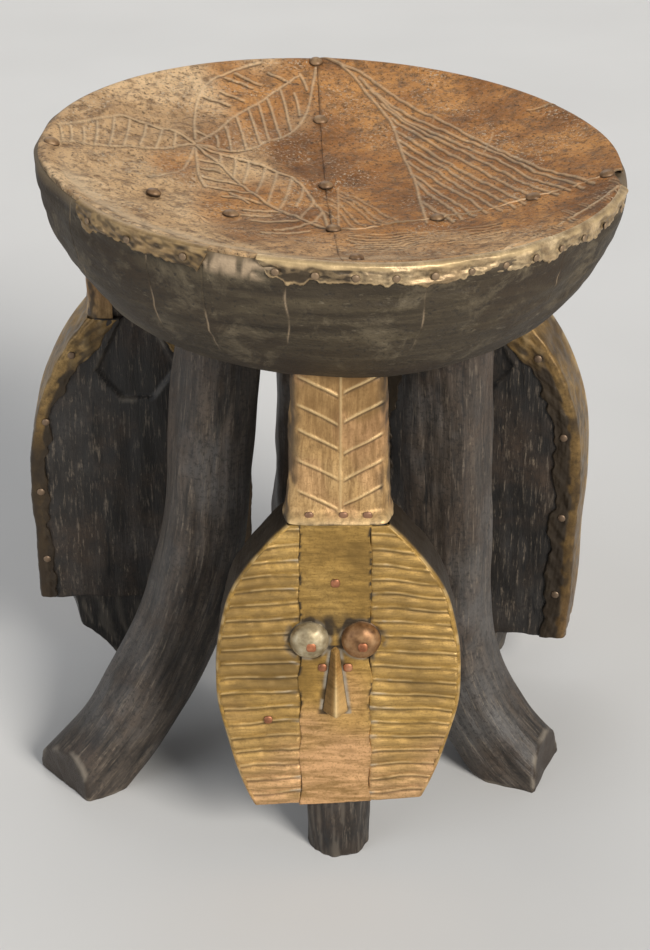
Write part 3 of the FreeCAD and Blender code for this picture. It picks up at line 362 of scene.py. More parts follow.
def black_wood(name, tint, painted_sheen, grain):
    """Blackened wood with patches of painted sheen, a grey that stands in for reflected light;
    grain is the stretch of its noise, across the fibre twice and then along it."""
    made = Finish(name, 0.0, 0.45, "fibre")

    def grained(across, along):
        """Coordinates stretched by the grain times across, across and along."""
        return made.stretched((grain[0] * across, grain[1] * across, grain[2] * along))

    black, dim = (0.008, 0.007, 0.006), tuple(0.4 * c for c in tint)
    fibre = made.noise(1.0, 8, 0.68, grained(1.0, 1.0), 0.4)
    cloud = made.noise(16, 6, 0.64, None, 0.3)
    base = made.ramp(fibre, (0.32, black), (0.52, dim), (0.74, tint))
    worn = made.mix(made.ramp(cloud, (0.46, 0.0), (0.68, 0.7)), base, (0.064, 0.039, 0.023))
    # painted sheen: grey patches that stand in for the pale room reflected on the dark wood
    grey = made.mix(made.ramp(made.noise(11, 5, 0.6), (0.50, 0.0), (0.66, 0.7)), worn, painted_sheen)
    hairs = made.noise(1.0, 6, 0.74, grained(3.2, 2.0), 0.1)
    haired = made.mix(made.ramp(hairs, (0.55, 0.0), (0.68, 0.75)), grey, (0.19, 0.152, 0.112))
    flecks = made.ramp(made.noise(1.0, 5, 0.75, grained(1.7, 3.0), 0.2), (0.62, 0.0), (0.69, 1.0))
    patchy = made.times(flecks, made.ramp(cloud, (0.40, 0.05), (0.60, 0.8)))
    scuffed = made.mix(patchy, haired, (0.23, 0.18, 0.125))
    pores = made.ramp(made.noise(420, 3, 0.7), (0.36, 0.6), (0.50, 0.0))
    pored = made.mix(pores, scuffed, (0.010, 0.008, 0.007))
    splits = made.ramp(made.noise(1.0, 3, 0.6, grained(1.3, 1.0), 0.3), (0.30, 0.85), (0.37, 0.0))
    split = made.mix(splits, pored, (0.004, 0.004, 0.004))
    cut = made.mix(made.mark("end"), split, (0.030, 0.020, 0.013))
    # the mark worn lays a pale colour: wear at the legs' feet and on the stubs, and a painted
    # highlight along the ledge of each board's recess
    edged = made.mix(made.mark("worn"), cut, (0.24, 0.205, 0.16))
    roughness = made.ramp(cloud, (0.3, 0.38), (0.7, 0.62))
    return made.done(edged, roughness, made.mix(0.4, fibre, hairs), 0.0011)


SEAT_WOOD = seat_wood()
LEG_WOOD = black_wood(
    "blackened_leg_wood", (0.120, 0.092, 0.069), (0.096, 0.091, 0.087), (190, 190, 24)
)
BOARD_WOOD = black_wood(
    "blackened_board_wood", (0.032, 0.026, 0.021), (0.046, 0.042, 0.039), (150, 150, 26)
)
print("wood finishes:", SEAT_WOOD.name, LEG_WOOD.name, BOARD_WOOD.name)

# %% [markdown]
# ## Metal finishes
# The sheets are old copper and brass. Their colour wanders between tan, orange and brown, dirt
# sits in the hollows, pale dust lies in the engraved lines, and raised parts are rubbed bright.
# Painted highlights lie on the engraved cuts, the cheek ribs and the nose, and painted shade
# beside the cuts, under the cheek ribs and chevrons and on the nose's left facet. The marks on
# the mesh say where.

# %% Metal


def engraved_copper():
    """Old copper sheet; the mark pale turns its orange brown to a greyish tan."""
    made = Finish("engraved_seat_copper", 0.25, 0.16)
    cloud = made.noise(13, 6, 0.62, None, 0.9)
    fine = made.noise(130, 7, 0.7)
    deep, warm, light = (0.13, 0.053, 0.018), (0.35, 0.155, 0.050), (0.54, 0.265, 0.087)
    orange = made.ramp(cloud, (0.30, deep), (0.47, warm), (0.62, light), (0.8, warm))
    dull, sand, cream = (0.42, 0.265, 0.135), (0.60, 0.395, 0.207), (0.72, 0.51, 0.295)
    tan = made.ramp(cloud, (0.30, dull), (0.48, sand), (0.64, cream))
    base = made.mix(made.mark("pale"), orange, tan)
    freckled = made.mix(made.ramp(fine, (0.38, 0.75), (0.52, 0.0)), base, (0.15, 0.078, 0.034))
    stain = made.ramp(made.noise(26, 5, 0.62, None, 1.4), (0.58, 0.0), (0.72, 0.6))
    stained = made.mix(stain, freckled, (0.105, 0.062, 0.036))
    pits = made.ramp(made.noise(480, 4, 0.75), (0.36, 0.9), (0.47, 0.0))
    pitted = made.mix(pits, stained, (0.060, 0.034, 0.018))
    specks = made.ramp(made.noise(560, 4, 0.75), (0.54, 0.0), (0.66, 0.9))
    dusted = made.mix(made.times(specks, made.mark("dust")), pitted, (0.56, 0.47, 0.35))
    rubbed = made.mix(made.mark("worn"), dusted, (0.56, 0.43, 0.28))
    # painted shadow: the mark shade darkens one side of each engraved cut
    shaded = made.mix(made.mark("shade"), rubbed, (0.045, 0.024, 0.012))
    # the pale of the cuts: dust in them and a painted highlight on their edges, and the painted
    # highlight of the laps
    lined = made.mix(made.mark("groove"), shaded, (0.76, 0.58, 0.37))
    grimed = made.mix(made.mark("grime"), lined, (0.050, 0.036, 0.024))
    roughness = made.ramp(fine, (0.35, 0.52), (0.7, 0.74))
    return made.done(grimed, roughness, fine, 0.0018)


def brass_sheet(name, dark, mid, bright, low, brush):
    """Old brass; the mark low turns it to the colour low, brush is the stretch of its scratches."""
    made = Finish(name, 0.45, 0.4)
    cloud = made.noise(17, 6, 0.6, None, 0.6)
    scratch = made.noise(1.0, 5, 0.7, made.stretched(brush), 0.2)
    base = made.ramp(cloud, (0.3, dark), (0.5, mid), (0.72, bright))
    lowered = made.mix(made.mark("low"), base, low)
    brushed = made.mix(made.ramp(scratch, (0.36, 0.7), (0.58, 0.0)), lowered, dark)
    speckle = made.ramp(made.noise(700, 3, 0.7), (0.34, 0.5), (0.50, 0.0))
    speckled = made.mix(speckle, brushed, dark)
    # the mark ridge lays a pale colour: a painted highlight on the cheek ribs and the nose, rubbed
    # wear on the strip's bend and the folded edges, and paler chevrons and flare on the posts
    rubbed = made.mix(made.mark("ridge"), speckled, (0.72, 0.53, 0.27))
    dusted = made.mix(made.mark("dust"), rubbed, (0.50, 0.46, 0.38))
    patch = made.ramp(made.noise(34, 5, 0.6, None, 1.0), (0.56, 0.0), (0.72, 0.34))
    dulled = made.mix(patch, dusted, (0.09, 0.060, 0.024))
    # the mark grime lays a dark colour: dirt, and painted shade under the cheek ribs, under the
    # chevrons and on the nose
    grimed = made.mix(made.mark("grime"), dulled, (0.028, 0.021, 0.015))
    roughness = made.ramp(scratch, (0.3, 0.34), (0.7, 0.56))
    return made.done(grimed, roughness, scratch, 0.0005)


def worn_head(name, dark, mid, bright, metallic=0.6):
    """Metal of nail heads and eyes: dark round the foot, and dull where marked pale."""
    made = Finish(name, metallic, 0.4)
    cloud = made.noise(140, 5, 0.6)
    base = made.ramp(cloud, (0.32, dark), (0.52, mid), (0.75, bright))
    dulled = made.mix(made.mark("pale"), base, (0.26, 0.200, 0.135))
    grimed = made.mix(made.mark("grime"), dulled, (0.03, 0.022, 0.016))
    roughness = made.ramp(cloud, (0.3, 0.38), (0.7, 0.58))
    return made.done(grimed, roughness, cloud, 0.0002)


SEAT_COPPER = engraved_copper()
FACE_BRASS = brass_sheet(
    "face_brass", (0.185, 0.106, 0.024), (0.445, 0.265, 0.066), (0.62, 0.390, 0.115),
    low=(0.68, 0.39, 0.195), brush=(40, 40, 300),
)
POST_BRASS = brass_sheet(
    "post_brass", (0.20, 0.108, 0.037), (0.48, 0.295, 0.120), (0.64, 0.42, 0.190),
    low=(0.56, 0.32, 0.155), brush=(320, 320, 26),
)
RIM_BRASS = brass_sheet(
    "rim_brass", (0.21, 0.135, 0.070), (0.53, 0.380, 0.205), (0.75, 0.58, 0.35),
    low=(0.27, 0.165, 0.058), brush=(110, 110, 110),
)
MARGIN_BRASS = brass_sheet(
    "margin_brass", (0.085, 0.050, 0.018), (0.29, 0.175, 0.058), (0.48, 0.31, 0.115),
    low=(0.20, 0.11, 0.05), brush=(90, 90, 90),
)
NAIL_COPPER = worn_head(
    "nail_copper", (0.20, 0.075, 0.034), (0.44, 0.165, 0.075), (0.58, 0.29, 0.15)
)
RIM_COPPER = worn_head(
    "rim_nail_copper", (0.14, 0.080, 0.038), (0.33, 0.200, 0.100), (0.52, 0.35, 0.19), 0.35
)
TACK_COPPER = worn_head(
    "tack_copper", (0.12, 0.064, 0.030), (0.24, 0.140, 0.068), (0.42, 0.28, 0.15), 0.3
)
EYE_PALE = worn_head(
    "pale_eye_metal", (0.19, 0.14, 0.075), (0.38, 0.31, 0.19), (0.58, 0.51, 0.36)
)
EYE_COPPER = worn_head(
    "copper_eye_metal", (0.13, 0.062, 0.026), (0.28, 0.15, 0.066), (0.42, 0.26, 0.13)
)
METALS = (SEAT_COPPER, FACE_BRASS, POST_BRASS, RIM_BRASS, MARGIN_BRASS)
HEADS = (NAIL_COPPER, RIM_COPPER, TACK_COPPER, EYE_PALE, EYE_COPPER)
print("metal finishes:", ", ".join(metal.name for metal in METALS + HEADS))

# %% [markdown]
# ## The seat bowl
# The bowl was hollowed and rounded with an adze. Its profile is two arcs that run into each
# other, a worn lip and the shallow dish. Carrying that profile round the axis gives the form, and
# soft waves, tool marks and a few drying cracks are added along the normal. Columns are set closer
# together at each crack so that it stays thin. At the left of the front, where no strip covers the
# lip, the wood is torn and pale.

# %% Seat bowl
DISH_EDGE, DISH_DEPTH = 166.0, 24.0
DISH_RADIUS = (DISH_EDGE**2 + DISH_DEPTH**2) / (2 * DISH_DEPTH)
CRACKS = np.radians([212.6, 234.6, 246.3, 262.2, 287.0, 318.0])
CRACK_REACH, CRACK_WIDTH = 165.0, 0.40
TORN_FROM, TORN_TO = 247.5, 257.5


def dish_height(x, y):
    """Height of the dish: the lower cap of a ball of DISH_RADIUS, DISH_DEPTH under the rim."""
    level = np.sqrt(DISH_RADIUS**2 - np.asarray(x) ** 2 - np.asarray(y) ** 2)
    return DISH_RADIUS - DISH_DEPTH - level


def rim_wave(turn):
    """Unevenness of the rim's radius in millimetres, shared by bowl, lining and strips."""
    return 0.9 * wander(np.stack([np.cos(turn), np.sin(turn)], -1) * SEAT_RADIUS, 130, 3)


def bowl_profile():
    """Radius and height along the profile, from the middle of the underside up and over into the
    dish."""
    low = np.radians(np.linspace(0.4, 22.6, 26))
    high = np.radians(np.linspace(-67.0, -4.0, 54))
    lip_r, lip_z = [169.4, 168.6, 167.2, 165.8], [-3.6, -1.6, -0.7, -0.9]
    dish_r = np.array([160.0, 120.0, 80.0, 40.0, 3.0])
    belly_r, belly_z = BELLY_RADIUS * np.sin(low), BELLY_CENTRE - BELLY_RADIUS * np.cos(low)
    side_r, side_z = SHOULDER_OUT + SHOULDER_RADIUS * np.cos(high), SHOULDER_RADIUS * np.sin(high)
    r = np.concatenate([belly_r, side_r, lip_r, dish_r])
    z = np.concatenate([belly_z, side_z, lip_z, dish_height(dish_r, 0) - 0.9])
    return r, z


def seat_bowl():
    """Profile turned about the axis: (r cos a, r sin a, z), moved outward by waves and inward at
    cracks."""
    r, z = bowl_profile()
    near = (np.linspace(-1.6, 1.6, 9)[None, :] / CRACK_REACH + CRACKS[:, None]).ravel()
    a = np.sort(np.concatenate([np.linspace(0, 2 * math.pi, 660, endpoint=False), near]))
    a, r, z = a[None, :], r[:, None], np.broadcast_to(z[:, None], (len(z), a.size))
    outside = smooth(20, 90, r) * smooth(0.5, -3.0, z)
    base = np.stack([r * np.cos(a), r * np.sin(a), z], -1)
    push = 0.9 * wander(base, 70, 5) + 0.35 * wander(base * [1, 1, 5], 38, 6)
    crack = np.zeros_like(z)
    for number, turn in enumerate(CRACKS):
        way = turn + 0.0028 * wander(z[:, :1] + 300 * number, 34, 7)[:, None]
        depth = smooth(-95 + 9 * number, -60 + 7 * number, z) * smooth(0, -5, z)
        across = (a - way) * CRACK_REACH / CRACK_WIDTH
        crack = np.maximum(crack, np.exp(-(across**2)) * depth)
    reach = r + rim_wave(a) * smooth(120, 165, r) + (push - 0.35 * crack) * outside
    points = np.stack([reach * np.cos(a), reach * np.sin(a), z], -1)
    edge = smooth(-7, -1.5, z) * smooth(150, 160, r)
    broken = smooth(-0.7, 0.5, wander(base, 24, 8))
    heading = np.degrees(a) + 1.2 * wander(base, 9, 9)
    torn = smooth(TORN_FROM - 1, TORN_FROM + 1, heading) * smooth(TORN_TO + 1, TORN_TO - 1, heading)
    torn = torn * smooth(-14, -8, z) * outside
    torn = torn * smooth(-1.4, 0.2, wander(base * [1, 1, 0.3], 5, 10))
    pale = np.maximum(0.7 * crack * broken, torn)
    marks = dict(crack=pale, edge=0.8 * edge * (1 - torn))
    return grid(from_seat(points), True, (True, True), **marks)


add_piece("seat_bowl_wood", faced(seat_bowl()), SEAT_WOOD, "seat_wood", "seat_bowl")

# %% [markdown]
# ## Engraving on the seat
# Leaves with ladder-like veins and a fan of long curved lines are engraved into the lining. Each
# line is a smooth path through a few points in the plane of the seat. All the lines are stamped
# into fine maps of the seat, a narrow one for the bright cut and a broader one for its raised
# edge, and the sheets read them, so that a line can cross a seam.

# %% Engraving
CELL = 0.4
REACH = 172.0
STEP = 0.35


def path(*points):
    """Smooth path through points: cubic pieces whose tangents are half the step between
    neighbours."""
    p = np.array(points, float)
    ends = np.vstack([2 * p[0] - p[1], p, 2 * p[-1] - p[-2]])
    tangents = (ends[2:] - ends[:-2]) / 2
    length = np.linalg.norm(np.diff(p, axis=0), axis=1).sum()
    t = np.linspace(0, len(p) - 1, max(int(length / STEP), 8))
    k = np.minimum(t.astype(int), len(p) - 2)
    s = (t - k)[:, None]
    a, b, u, v = p[k], p[k + 1], tangents[k], tangents[k + 1]
    places = a * (1 + 2 * s) * (1 - s) ** 2 + b * s * s * (3 - 2 * s)
    return places + u * s * (1 - s) ** 2 - v * s * s * (1 - s)


def strokes(*pairs):
    """Straight cuts, each from one point to another with a slight bow."""
    return [path(a, np.add(a, b) / 2 + [0.5, 0.3], b) for a, b in pairs]


def leaf_lines():
    """Three leaves that grow from one point: a rib and outlines for each, and the veins cut
    between them."""
    ribs = [
        path((-82, 42), (-104, 26), (-124, 15), (-151, 2), (-161, -6)),
        path((-82, 43), (-94, 52), (-105, 56), (-122, 61), (-131, 58), (-148, 38), (-161, 22)),
        path((-81, 45), (-73, 61), (-59, 89), (-47, 108), (-33, 129), (-21, 147)),
        path((-82, 50), (-84, 77), (-83, 105), (-76, 127), (-58, 147), (-46, 155)),
        path(
            (-80, 41), (-72, 43), (-50, 45), (-39, 58),
            (-25, 76), (-16, 102), (-12, 143), (-11, 156),
        ),
        path((-80, 40), (-68, 23), (-51, -9), (-36, -33), (-18, -59), (-3, -73)),
        path((-78, 40), (-55, 32), (-36, 23), (-16, -3), (-5, -46), (-2, -70)),
        path((-81, 37), (-79, 18), (-77, -3), (-72, -19)),
        path((-82, 37), (-84, 19), (-89, -4), (-104, -22)),
    ]
    first = strokes(
        ((-160, 23), (-156, 2)), ((-154, 27), (-151, 2)), ((-147, 32), (-144, 4)),
        ((-140, 44), (-138, 9)), ((-131, 57), (-130, 13)), ((-122, 59), (-122, 18)),
        ((-112, 57), (-113, 24)), ((-102, 54), (-104, 26)), ((-94, 50), (-94, 36)),
    )
    second = strokes(
        ((-70, 61), (-68, 46)), ((-65, 74), (-60, 45)), ((-59, 88), (-51, 46)),
        ((-52, 100), (-43, 54)), ((-46, 109), (-38, 61)), ((-41, 117), (-31, 69)),
        ((-33, 128), (-25, 80)), ((-24, 123), (-20, 100)), ((-21, 148), (-16, 129)),
        ((-11, 153), (-13, 132)), ((-80, 107), (-63, 99)), ((-70, 115), (-55, 108)),
        ((-68, 132), (-50, 127)), ((-62, 139), (-45, 131)), ((-41, 146), (-27, 136)),
        ((-83, 60), (-73, 56)),
    )
    third = strokes(
        ((-66, 35), (-66, 22)), ((-57, 32), (-57, 5)), ((-49, 30), (-51, -3)),
        ((-39, 24), (-43, -18)), ((-32, 19), (-36, -31)), ((-23, 7), (-29, -41)),
        ((-16, -4), (-20, -34)), ((-10, -22), (-17, -59)), ((-5, -46), (-10, -64)),
        ((-78, 22), (-65, 18)), ((-76, 7), (-65, 7)), ((-75, -5), (-53, -8)),
        ((-70, -19), (-44, -20)), ((-58, -23), (-47, -37)), ((-49, -50), (-29, -47)),
        ((-50, -62), (-34, -58)), ((-31, -85), (-8, -62)), ((-62, -30), (-40, -33)),
        ((-44, -72), (-18, -64)), ((-38, -96), (-12, -78)),
    )
    return ribs + first + second + third


def fan_lines():
    """The fan: its border, its upper edge and the long lines that hang between the border and the
    cross seam."""
    return [
        path((5, 160), (13, 148), (23, 126), (37, 91), (41, 63), (48, 18), (51, -20), (53, -64)),
        path((-8, 168), (5, 160), (20, 150), (46, 116), (69, 90), (95, 55), (121, 16), (149, -26)),
        path((17, 146), (38, 113), (66, 81), (96, 48), (123, 4), (143, -29)),
        path((24, 133), (45, 97), (72, 66), (99, 32), (120, -7), (135, -30)),
        path((31, 115), (50, 86), (76, 53), (99, 16), (116, -17), (128, -34)),
        path((37, 97), (55, 72), (75, 41), (97, 2), (116, -38)),
        path((38, 84), (56, 57), (77, 21), (95, -11), (109, -42)),
        path((41, 69), (59, 42), (77, 9), (91, -20), (103, -46)),
        path((43, 56), (58, 32), (76, -4), (86, -27), (95, -49)),
        path((46, 40), (60, 13), (75, -16), (87, -51)),
        path((47, 22), (61, -7), (80, -54)),
        path((50, 7), (61, -23), (73, -56)),
        path((51, -20), (59, -42), (68, -60)),
    ]


def front_lines():
    """Bundles of curved cuts on both sides of the cross seam and bars along the right of the
    rim."""
    lines = [
        path((4, -1), (4, -35), (4, -72)), path((5, -4), (15, -19), (27, -40), (38, -63)),
        path((5, -10), (17, -32), (31, -64)), path((5, -16), (20, -49), (28, -67)),
        path((5, -30), (13, -54), (19, -66)), path((5, -42), (9, -58), (13, -69)),
    ]
    for k in range(8):
        low = -92 - 5.0 * k
        lines.append(path(
            (8 + k, low), (24 + 2 * k, low + 6), (44, -82 - 4.0 * k), (74, -88 - 2.5 * k)
        ))
    for k in range(6):
        low = -84 - 7.0 * k
        lines.append(path((46 + 4 * k, low), (66 + 3 * k, low + 6), (92, -76 - 5.6 * k)))
    bars = (
        (125, -82), (127, -67), (137, -59), (146, -51),
        (154, -38), (157, -27), (117, -96), (108, -108),
    )
    for x, y in bars:
        lines.append(path((x, y), (x + 3, y - 6), (x + 5, y - 13)))
        lines.append(path((x + 2, y + 1), (x + 5, y - 5), (x + 7, y - 11)))
    lines += strokes(
        ((-4, -12), (4, -28)), ((-3, -28), (4, -40)), ((-3, -62), (4, -50)), ((-4, -44), (4, -58)),
        ((8, -104), (16, -112)), ((14, -122), (24, -106)), ((26, -128), (32, -112)),
        ((36, -132), (40, -118)), ((120, 93), (137, 96)), ((90, 43), (98, 71)),
        *[((46 + 7 * k, -136 - k), (49 + 7 * k, -130 - k)) for k in range(6)],
    )
    return lines


def scratch_lines(count=46):
    """Short stray scratches, strewn with a fixed seed."""
    rng = np.random.default_rng(21)
    middle = rng.uniform(-120, 120, (count, 2))
    heading = rng.uniform(0, math.pi, count)
    run = np.stack([np.cos(heading), np.sin(heading)], -1) * rng.uniform(2, 9, count)[:, None]
    return [path(m - r, m + [0.4, 0.2], m + r) for m, r in zip(middle, run)]


def stamp(lines, width):
    """Map of line strength: each path sample leaves exp(-(distance / width)^2), and the strongest
    stays."""
    size = int(2 * REACH / CELL) + 1
    made = np.zeros((size, size))
    samples = np.vstack(lines)
    cell = np.round((samples + REACH) / CELL).astype(int)
    reach = int(np.ceil(2.2 * width / CELL))
    for dx in range(-reach, reach + 1):
        for dy in range(-reach, reach + 1):
            near = np.clip(cell + [dx, dy], 0, size - 1)
            away = ((near * CELL - REACH - samples) ** 2).sum(1)
            np.maximum.at(made, (near[:, 0], near[:, 1]), np.exp(-away / width**2))
    return made


MOTIF, BUNDLES = leaf_lines() + fan_lines(), front_lines()
CUTS = np.maximum(stamp(MOTIF, 0.80), 0.7 * stamp(BUNDLES, 0.62))
CUTS = np.maximum(CUTS, 0.6 * stamp(scratch_lines(), 0.45))
BURRS = np.maximum(stamp(MOTIF, 1.35), 0.7 * stamp(BUNDLES, 1.0))


def engraved(chart, x, y):
    """Strength of the engraving at points of the seat's plane, read from a map between its
    cells."""
    u = np.clip((x + REACH) / CELL, 0, chart.shape[0] - 2)
    v = np.clip((y + REACH) / CELL, 0, chart.shape[1] - 2)
    i, j = u.astype(int), v.astype(int)
    s, t = u - i, v - j
    low = chart[i, j] * (1 - s) + chart[i + 1, j] * s
    high = chart[i, j + 1] * (1 - s) + chart[i + 1, j + 1] * s
    return low * (1 - t) + high * t


print("engraved share of the seat:", round(float((CUTS > 0.3).mean()), 3))

# %% [markdown]
# ## The copper lining
# Four sheets line the dish, parted along seams. A sheet is drawn between two border curves in the
# plane of the seat and pressed into the dish. Dents, the engraving and a hem that turns down at
# every border are added to its height. Where a sheet lies over its neighbour, the lap stands up a
# little and carries a painted highlight. Each engraved cut is pale, with dust and a painted
# highlight, and has a painted shadow along one side.

# %% Seat lining
RIM = 167.6
SEAM_TOP, SEAM_MID, SEAM_END = (-9.4, 167.0), (0.3, -78.0), (5.7, -167.5)
FRONT_TURN = 0.45


def rim_curve(start, end, t):
    """Points on the rim between two turns in degrees, following the uneven rim."""
    a = np.radians(start + (end - start) * t)
    r = RIM + rim_wave(a)
    return np.stack([r * np.cos(a), r * np.sin(a)], -1)


def line_curve(start, end, t):
    """Points on a straight seam: start (1 - t) + end t."""
    return np.array(start, float) * (1 - t)[:, None] + np.array(end, float) * t[:, None]


def front_border(t):
    """Outer border of the front sheet: along the rim, then along the seam of the patch."""
    rim = rim_curve(271.6, 301.0, t / FRONT_TURN)
    rest = np.clip((t - FRONT_TURN) / (1 - FRONT_TURN), 0, 1)
    seam = line_curve((86.4, -143.6), (162.5, -37.0), rest)
    return np.where((t < FRONT_TURN)[:, None], rim, seam)


def hemmed(count):
    """Parameter from 0 to 1 with two more samples at each end, and how far the hem drops there."""
    t = np.concatenate([[0, 0], np.linspace(0, 1, count), [1, 1]])
    return t, np.concatenate([[1.0, 0.4], np.zeros(count), [1.0, 2.2]])


def lining(low, high, rows, columns, seed, lift):
    """Sheet between two borders: p = low (1 - s) + high s, height = dish + dents + engraving -
    hem, and a raised lap on the low border of a lifted sheet."""
    s, row_drop = hemmed(rows)
    t, column_drop = hemmed(columns)
    low, high = low(t), high(t)
    plane = low[None] * (1 - s)[:, None, None] + high[None] * s[:, None, None]
    x, y = plane[..., 0], plane[..., 1]
    reach, turn = np.hypot(x, y), np.degrees(np.arctan2(y, x)) % 360
    over_lip = smooth(158, 168, reach)
    lip = 0.5 - 0.08 * np.maximum(reach - 164, 0) ** 2
    dent = 0.55 * wander(plane, 34, 31) + 0.22 * wander(plane, 11, 32)
    burr = engraved(BURRS, x, y) - engraved(BURRS, x + 0.5, y + 1.7)
    away = s[:, None] * np.linalg.norm(high - low, axis=-1)[None]
    # lap: a painted highlight along the low border of a lifted sheet, where it stands up
    lap = smooth(0.4, 0.6, lift) * smooth(2.4, 0.8, away)
    lap = lap * smooth(-0.9, 0.2, wander(plane, 14, seed + 5))
    z = dish_height(x, y) * (1 - over_lip) + over_lip * lip
    z = z + 1.2 + lift + dent * smooth(168, 150, reach) + 0.5 * burr + 0.5 * lap
    z = z - np.maximum(row_drop[:, None], column_drop[None, :])
    # each cut is pale, dust with a painted highlight; shade is a painted shadow along one side of
    # it, the cut map shifted a little, less the cut
    line = engraved(CUTS, x, y)
    shade = np.clip(1.1 * engraved(CUTS, x + 0.4, y + 1.25) - line, 0, 1)
    edge = np.minimum(np.minimum(s, 1 - s)[:, None], np.minimum(t, 1 - t)[None, :])
    grime = 0.55 * smooth(0.010, 0.0, edge) * smooth(-0.6, 0.5, wander(plane, 25, seed + 2))
    bare = smooth(157, 161, reach + 1.5 * wander(plane, 17, seed + 4))
    bare = bare * smooth(204, 222, turn) * smooth(270, 254, turn)
    grime = np.maximum(grime, 0.45 * bare * smooth(-0.7, 0.4, wander(plane, 12, 36)))
    worn = smooth(143, 155, reach) * smooth(161, 156, reach)
    worn = worn * smooth(182, 205, turn) * smooth(300, 268, turn)
    dust = smooth(-0.2, 0.9, wander(plane, 60, seed + 3)) * 0.7 + 0.3
    pale = smooth(-25, -105, x + 22 * wander(plane, 70, 37))
    pale = pale + 0.55 * smooth(-70, -125, y + 12 * wander(plane, 50, 38))
    marks = dict(groove=np.maximum(0.45 * line, 0.5 * lap), shade=shade, grime=grime)
    marks.update(dust=dust, worn=0.55 * worn, pale=np.clip(pale, 0, 1))
    return grid(from_seat(np.stack([x, y, z], -1)), **marks)


SHEETS = {
    "left": (
        lambda t: line_curve(SEAM_TOP, SEAM_END, t),
        lambda t: rim_curve(93.8, 271.4, t),
        205, 462, 31, 0.0,
    ),
    "right": (
        lambda t: line_curve(SEAM_MID, (166.5, -13.5), t),
        lambda t: rim_curve(93.6, -4.8, t),
        270, 340, 41, 0.6,
    ),
    "front": (
        lambda t: line_curve((0.7, -77.1), (160.3, -13.6), t),
        front_border,
        150, 320, 51, 0.3,
    ),
    "patch": (
        lambda t: line_curve((87.4, -143.0), (163.3, -36.4), t),
        lambda t: rim_curve(301.4, 347.2, t),
        60, 260, 61, 0.6,
    ),
}
for name, recipe in SHEETS.items():
    patch = faced(lining(*recipe), UP)
    add_piece(f"seat_lining_{name}", patch, SEAT_COPPER, "seat_copper", f"seat_sheet_{name}")

# %% [markdown]
# ## Brass on the rim
# A brass strip is folded over the front of the rim and nailed. It is dark and worn through at its
# left end and rubbed clean further right, its lower edge is ragged, and every nail has pulled a
# small dimple. An older, mottled piece sits at the left. The section of both is an angle with a
# round bend, carried round the rim.

# %% Rim strips
RIM_NAILS = np.radians(
    [220, 231, 243, 260, 267, 274, 281, 288, 295, 302, 309, 316, 323, 331, 340]
)
NAIL_DROP = 5.5
STRIPS = (("rim_strip", 256.5, 346.5, 620, 71), ("rim_patch", 215.5, 247.5, 240, 81))


def rim_strip(start, end, count, seed):
    """Section (flange, bend, skirt) carried round the rim: s runs from the dish over the lip and
    down the skirt, whose length and dents wander."""
    a = np.radians(np.linspace(start, end, count))[:, None]
    s = np.linspace(0, 1, 34)[None, :]
    old, clean = smooth(252, 246, np.degrees(a)), smooth(270, 282, np.degrees(a))
    around = np.concatenate([np.cos(a), np.sin(a)], -1) * SEAT_RADIUS
    drop = 8.8 + 1.2 * wander(around, 26, seed) + 0.4 * wander(around, 6, seed + 1)
    drop = np.clip(drop + 0.2 * wander(around, 2.5, seed + 5), 5.0, 12.0)[:, None]
    drop = drop * smooth(0, 0.05, np.minimum(a - a[0], a[-1] - a) + 0.012) * (1.2 + 0.08 * old)
    flange, skirt = smooth(0.0, 0.34, s), np.clip((s - 0.30) / 0.70, 0, 1)
    r = 166.4 + 4.3 * flange + 0.9 * skirt * (1 - skirt) - 0.02 * drop * skirt**2
    z = 1.9 - 1.3 * flange * smooth(0.1, 0.34, s) - drop * skirt - 1.6 * smooth(0.05, 0.0, s)
    place = np.stack([r * np.cos(a), r * np.sin(a), z * 2.0], -1)
    dent = 0.45 * wander(place, 12, seed + 2) + 0.2 * wander(place, 5, seed + 3)
    beside = np.abs(a - RIM_NAILS[None, :]).min(1)[:, None] * SEAT_RADIUS
    from_nail = np.hypot(beside, z + NAIL_DROP)
    r = r + rim_wave(a) + dent * smooth(0.2, 0.5, s)
    r = r - 0.5 * np.exp(-(from_nail**2) / 14.0) - 1.1 * smooth(0.93, 1.0, s)
    ring = np.exp(-((from_nail - 4.6) ** 2) / 1.6)
    inside = smooth(0.40, 0.50, s) * smooth(0.91, 0.83, s)
    worn = smooth(0.15, 0.9, wander(place, 34, seed + 4)) * inside * (1 - old) * (1 - 0.75 * clean)
    fine = smooth(0.1, 0.8, wander(place, 9, seed + 6)) * inside
    fine = fine * (1 - 0.6 * old) * (1 - 0.5 * clean)
    window = inside * (1 - 0.95 * clean) * (1 - old) * (1 - 0.8 * np.exp(-((beside / 3.4) ** 2)))
    mottled = old * smooth(-0.5, 0.7, wander(place, 9, seed + 8)) * smooth(0.1, 0.4, s)
    grime = 0.3 * ring + 0.75 * worn + 0.5 * fine + 0.6 * window + 0.6 * mottled
    grime = np.clip(grime + 0.5 * smooth(0.96, 1.0, s), 0, 0.9)
    bend = smooth(0.16, 0.28, s) * smooth(0.50, 0.36, s) * (1 - 0.8 * old)
    ridge = 0.48 * bend * smooth(-0.6, 0.4, wander(place, 20, seed + 7))
    points = np.stack([r * np.cos(a), r * np.sin(a), z], -1)
    marks = dict(grime=grime, ridge=ridge, low=0.3 * worn + 0.7 * old, dust=0.0)
    return grid(from_seat(points), **marks)


for name, start, end, count, seed in STRIPS:
    middle = math.radians((start + end) / 2)
    outward = np.array([math.cos(middle), math.sin(middle), 0.6])
    patch = faced(rim_strip(start, end, count, seed), outward)
    add_piece(f"{name}_brass", patch, RIM_BRASS, "rim_brass", name)

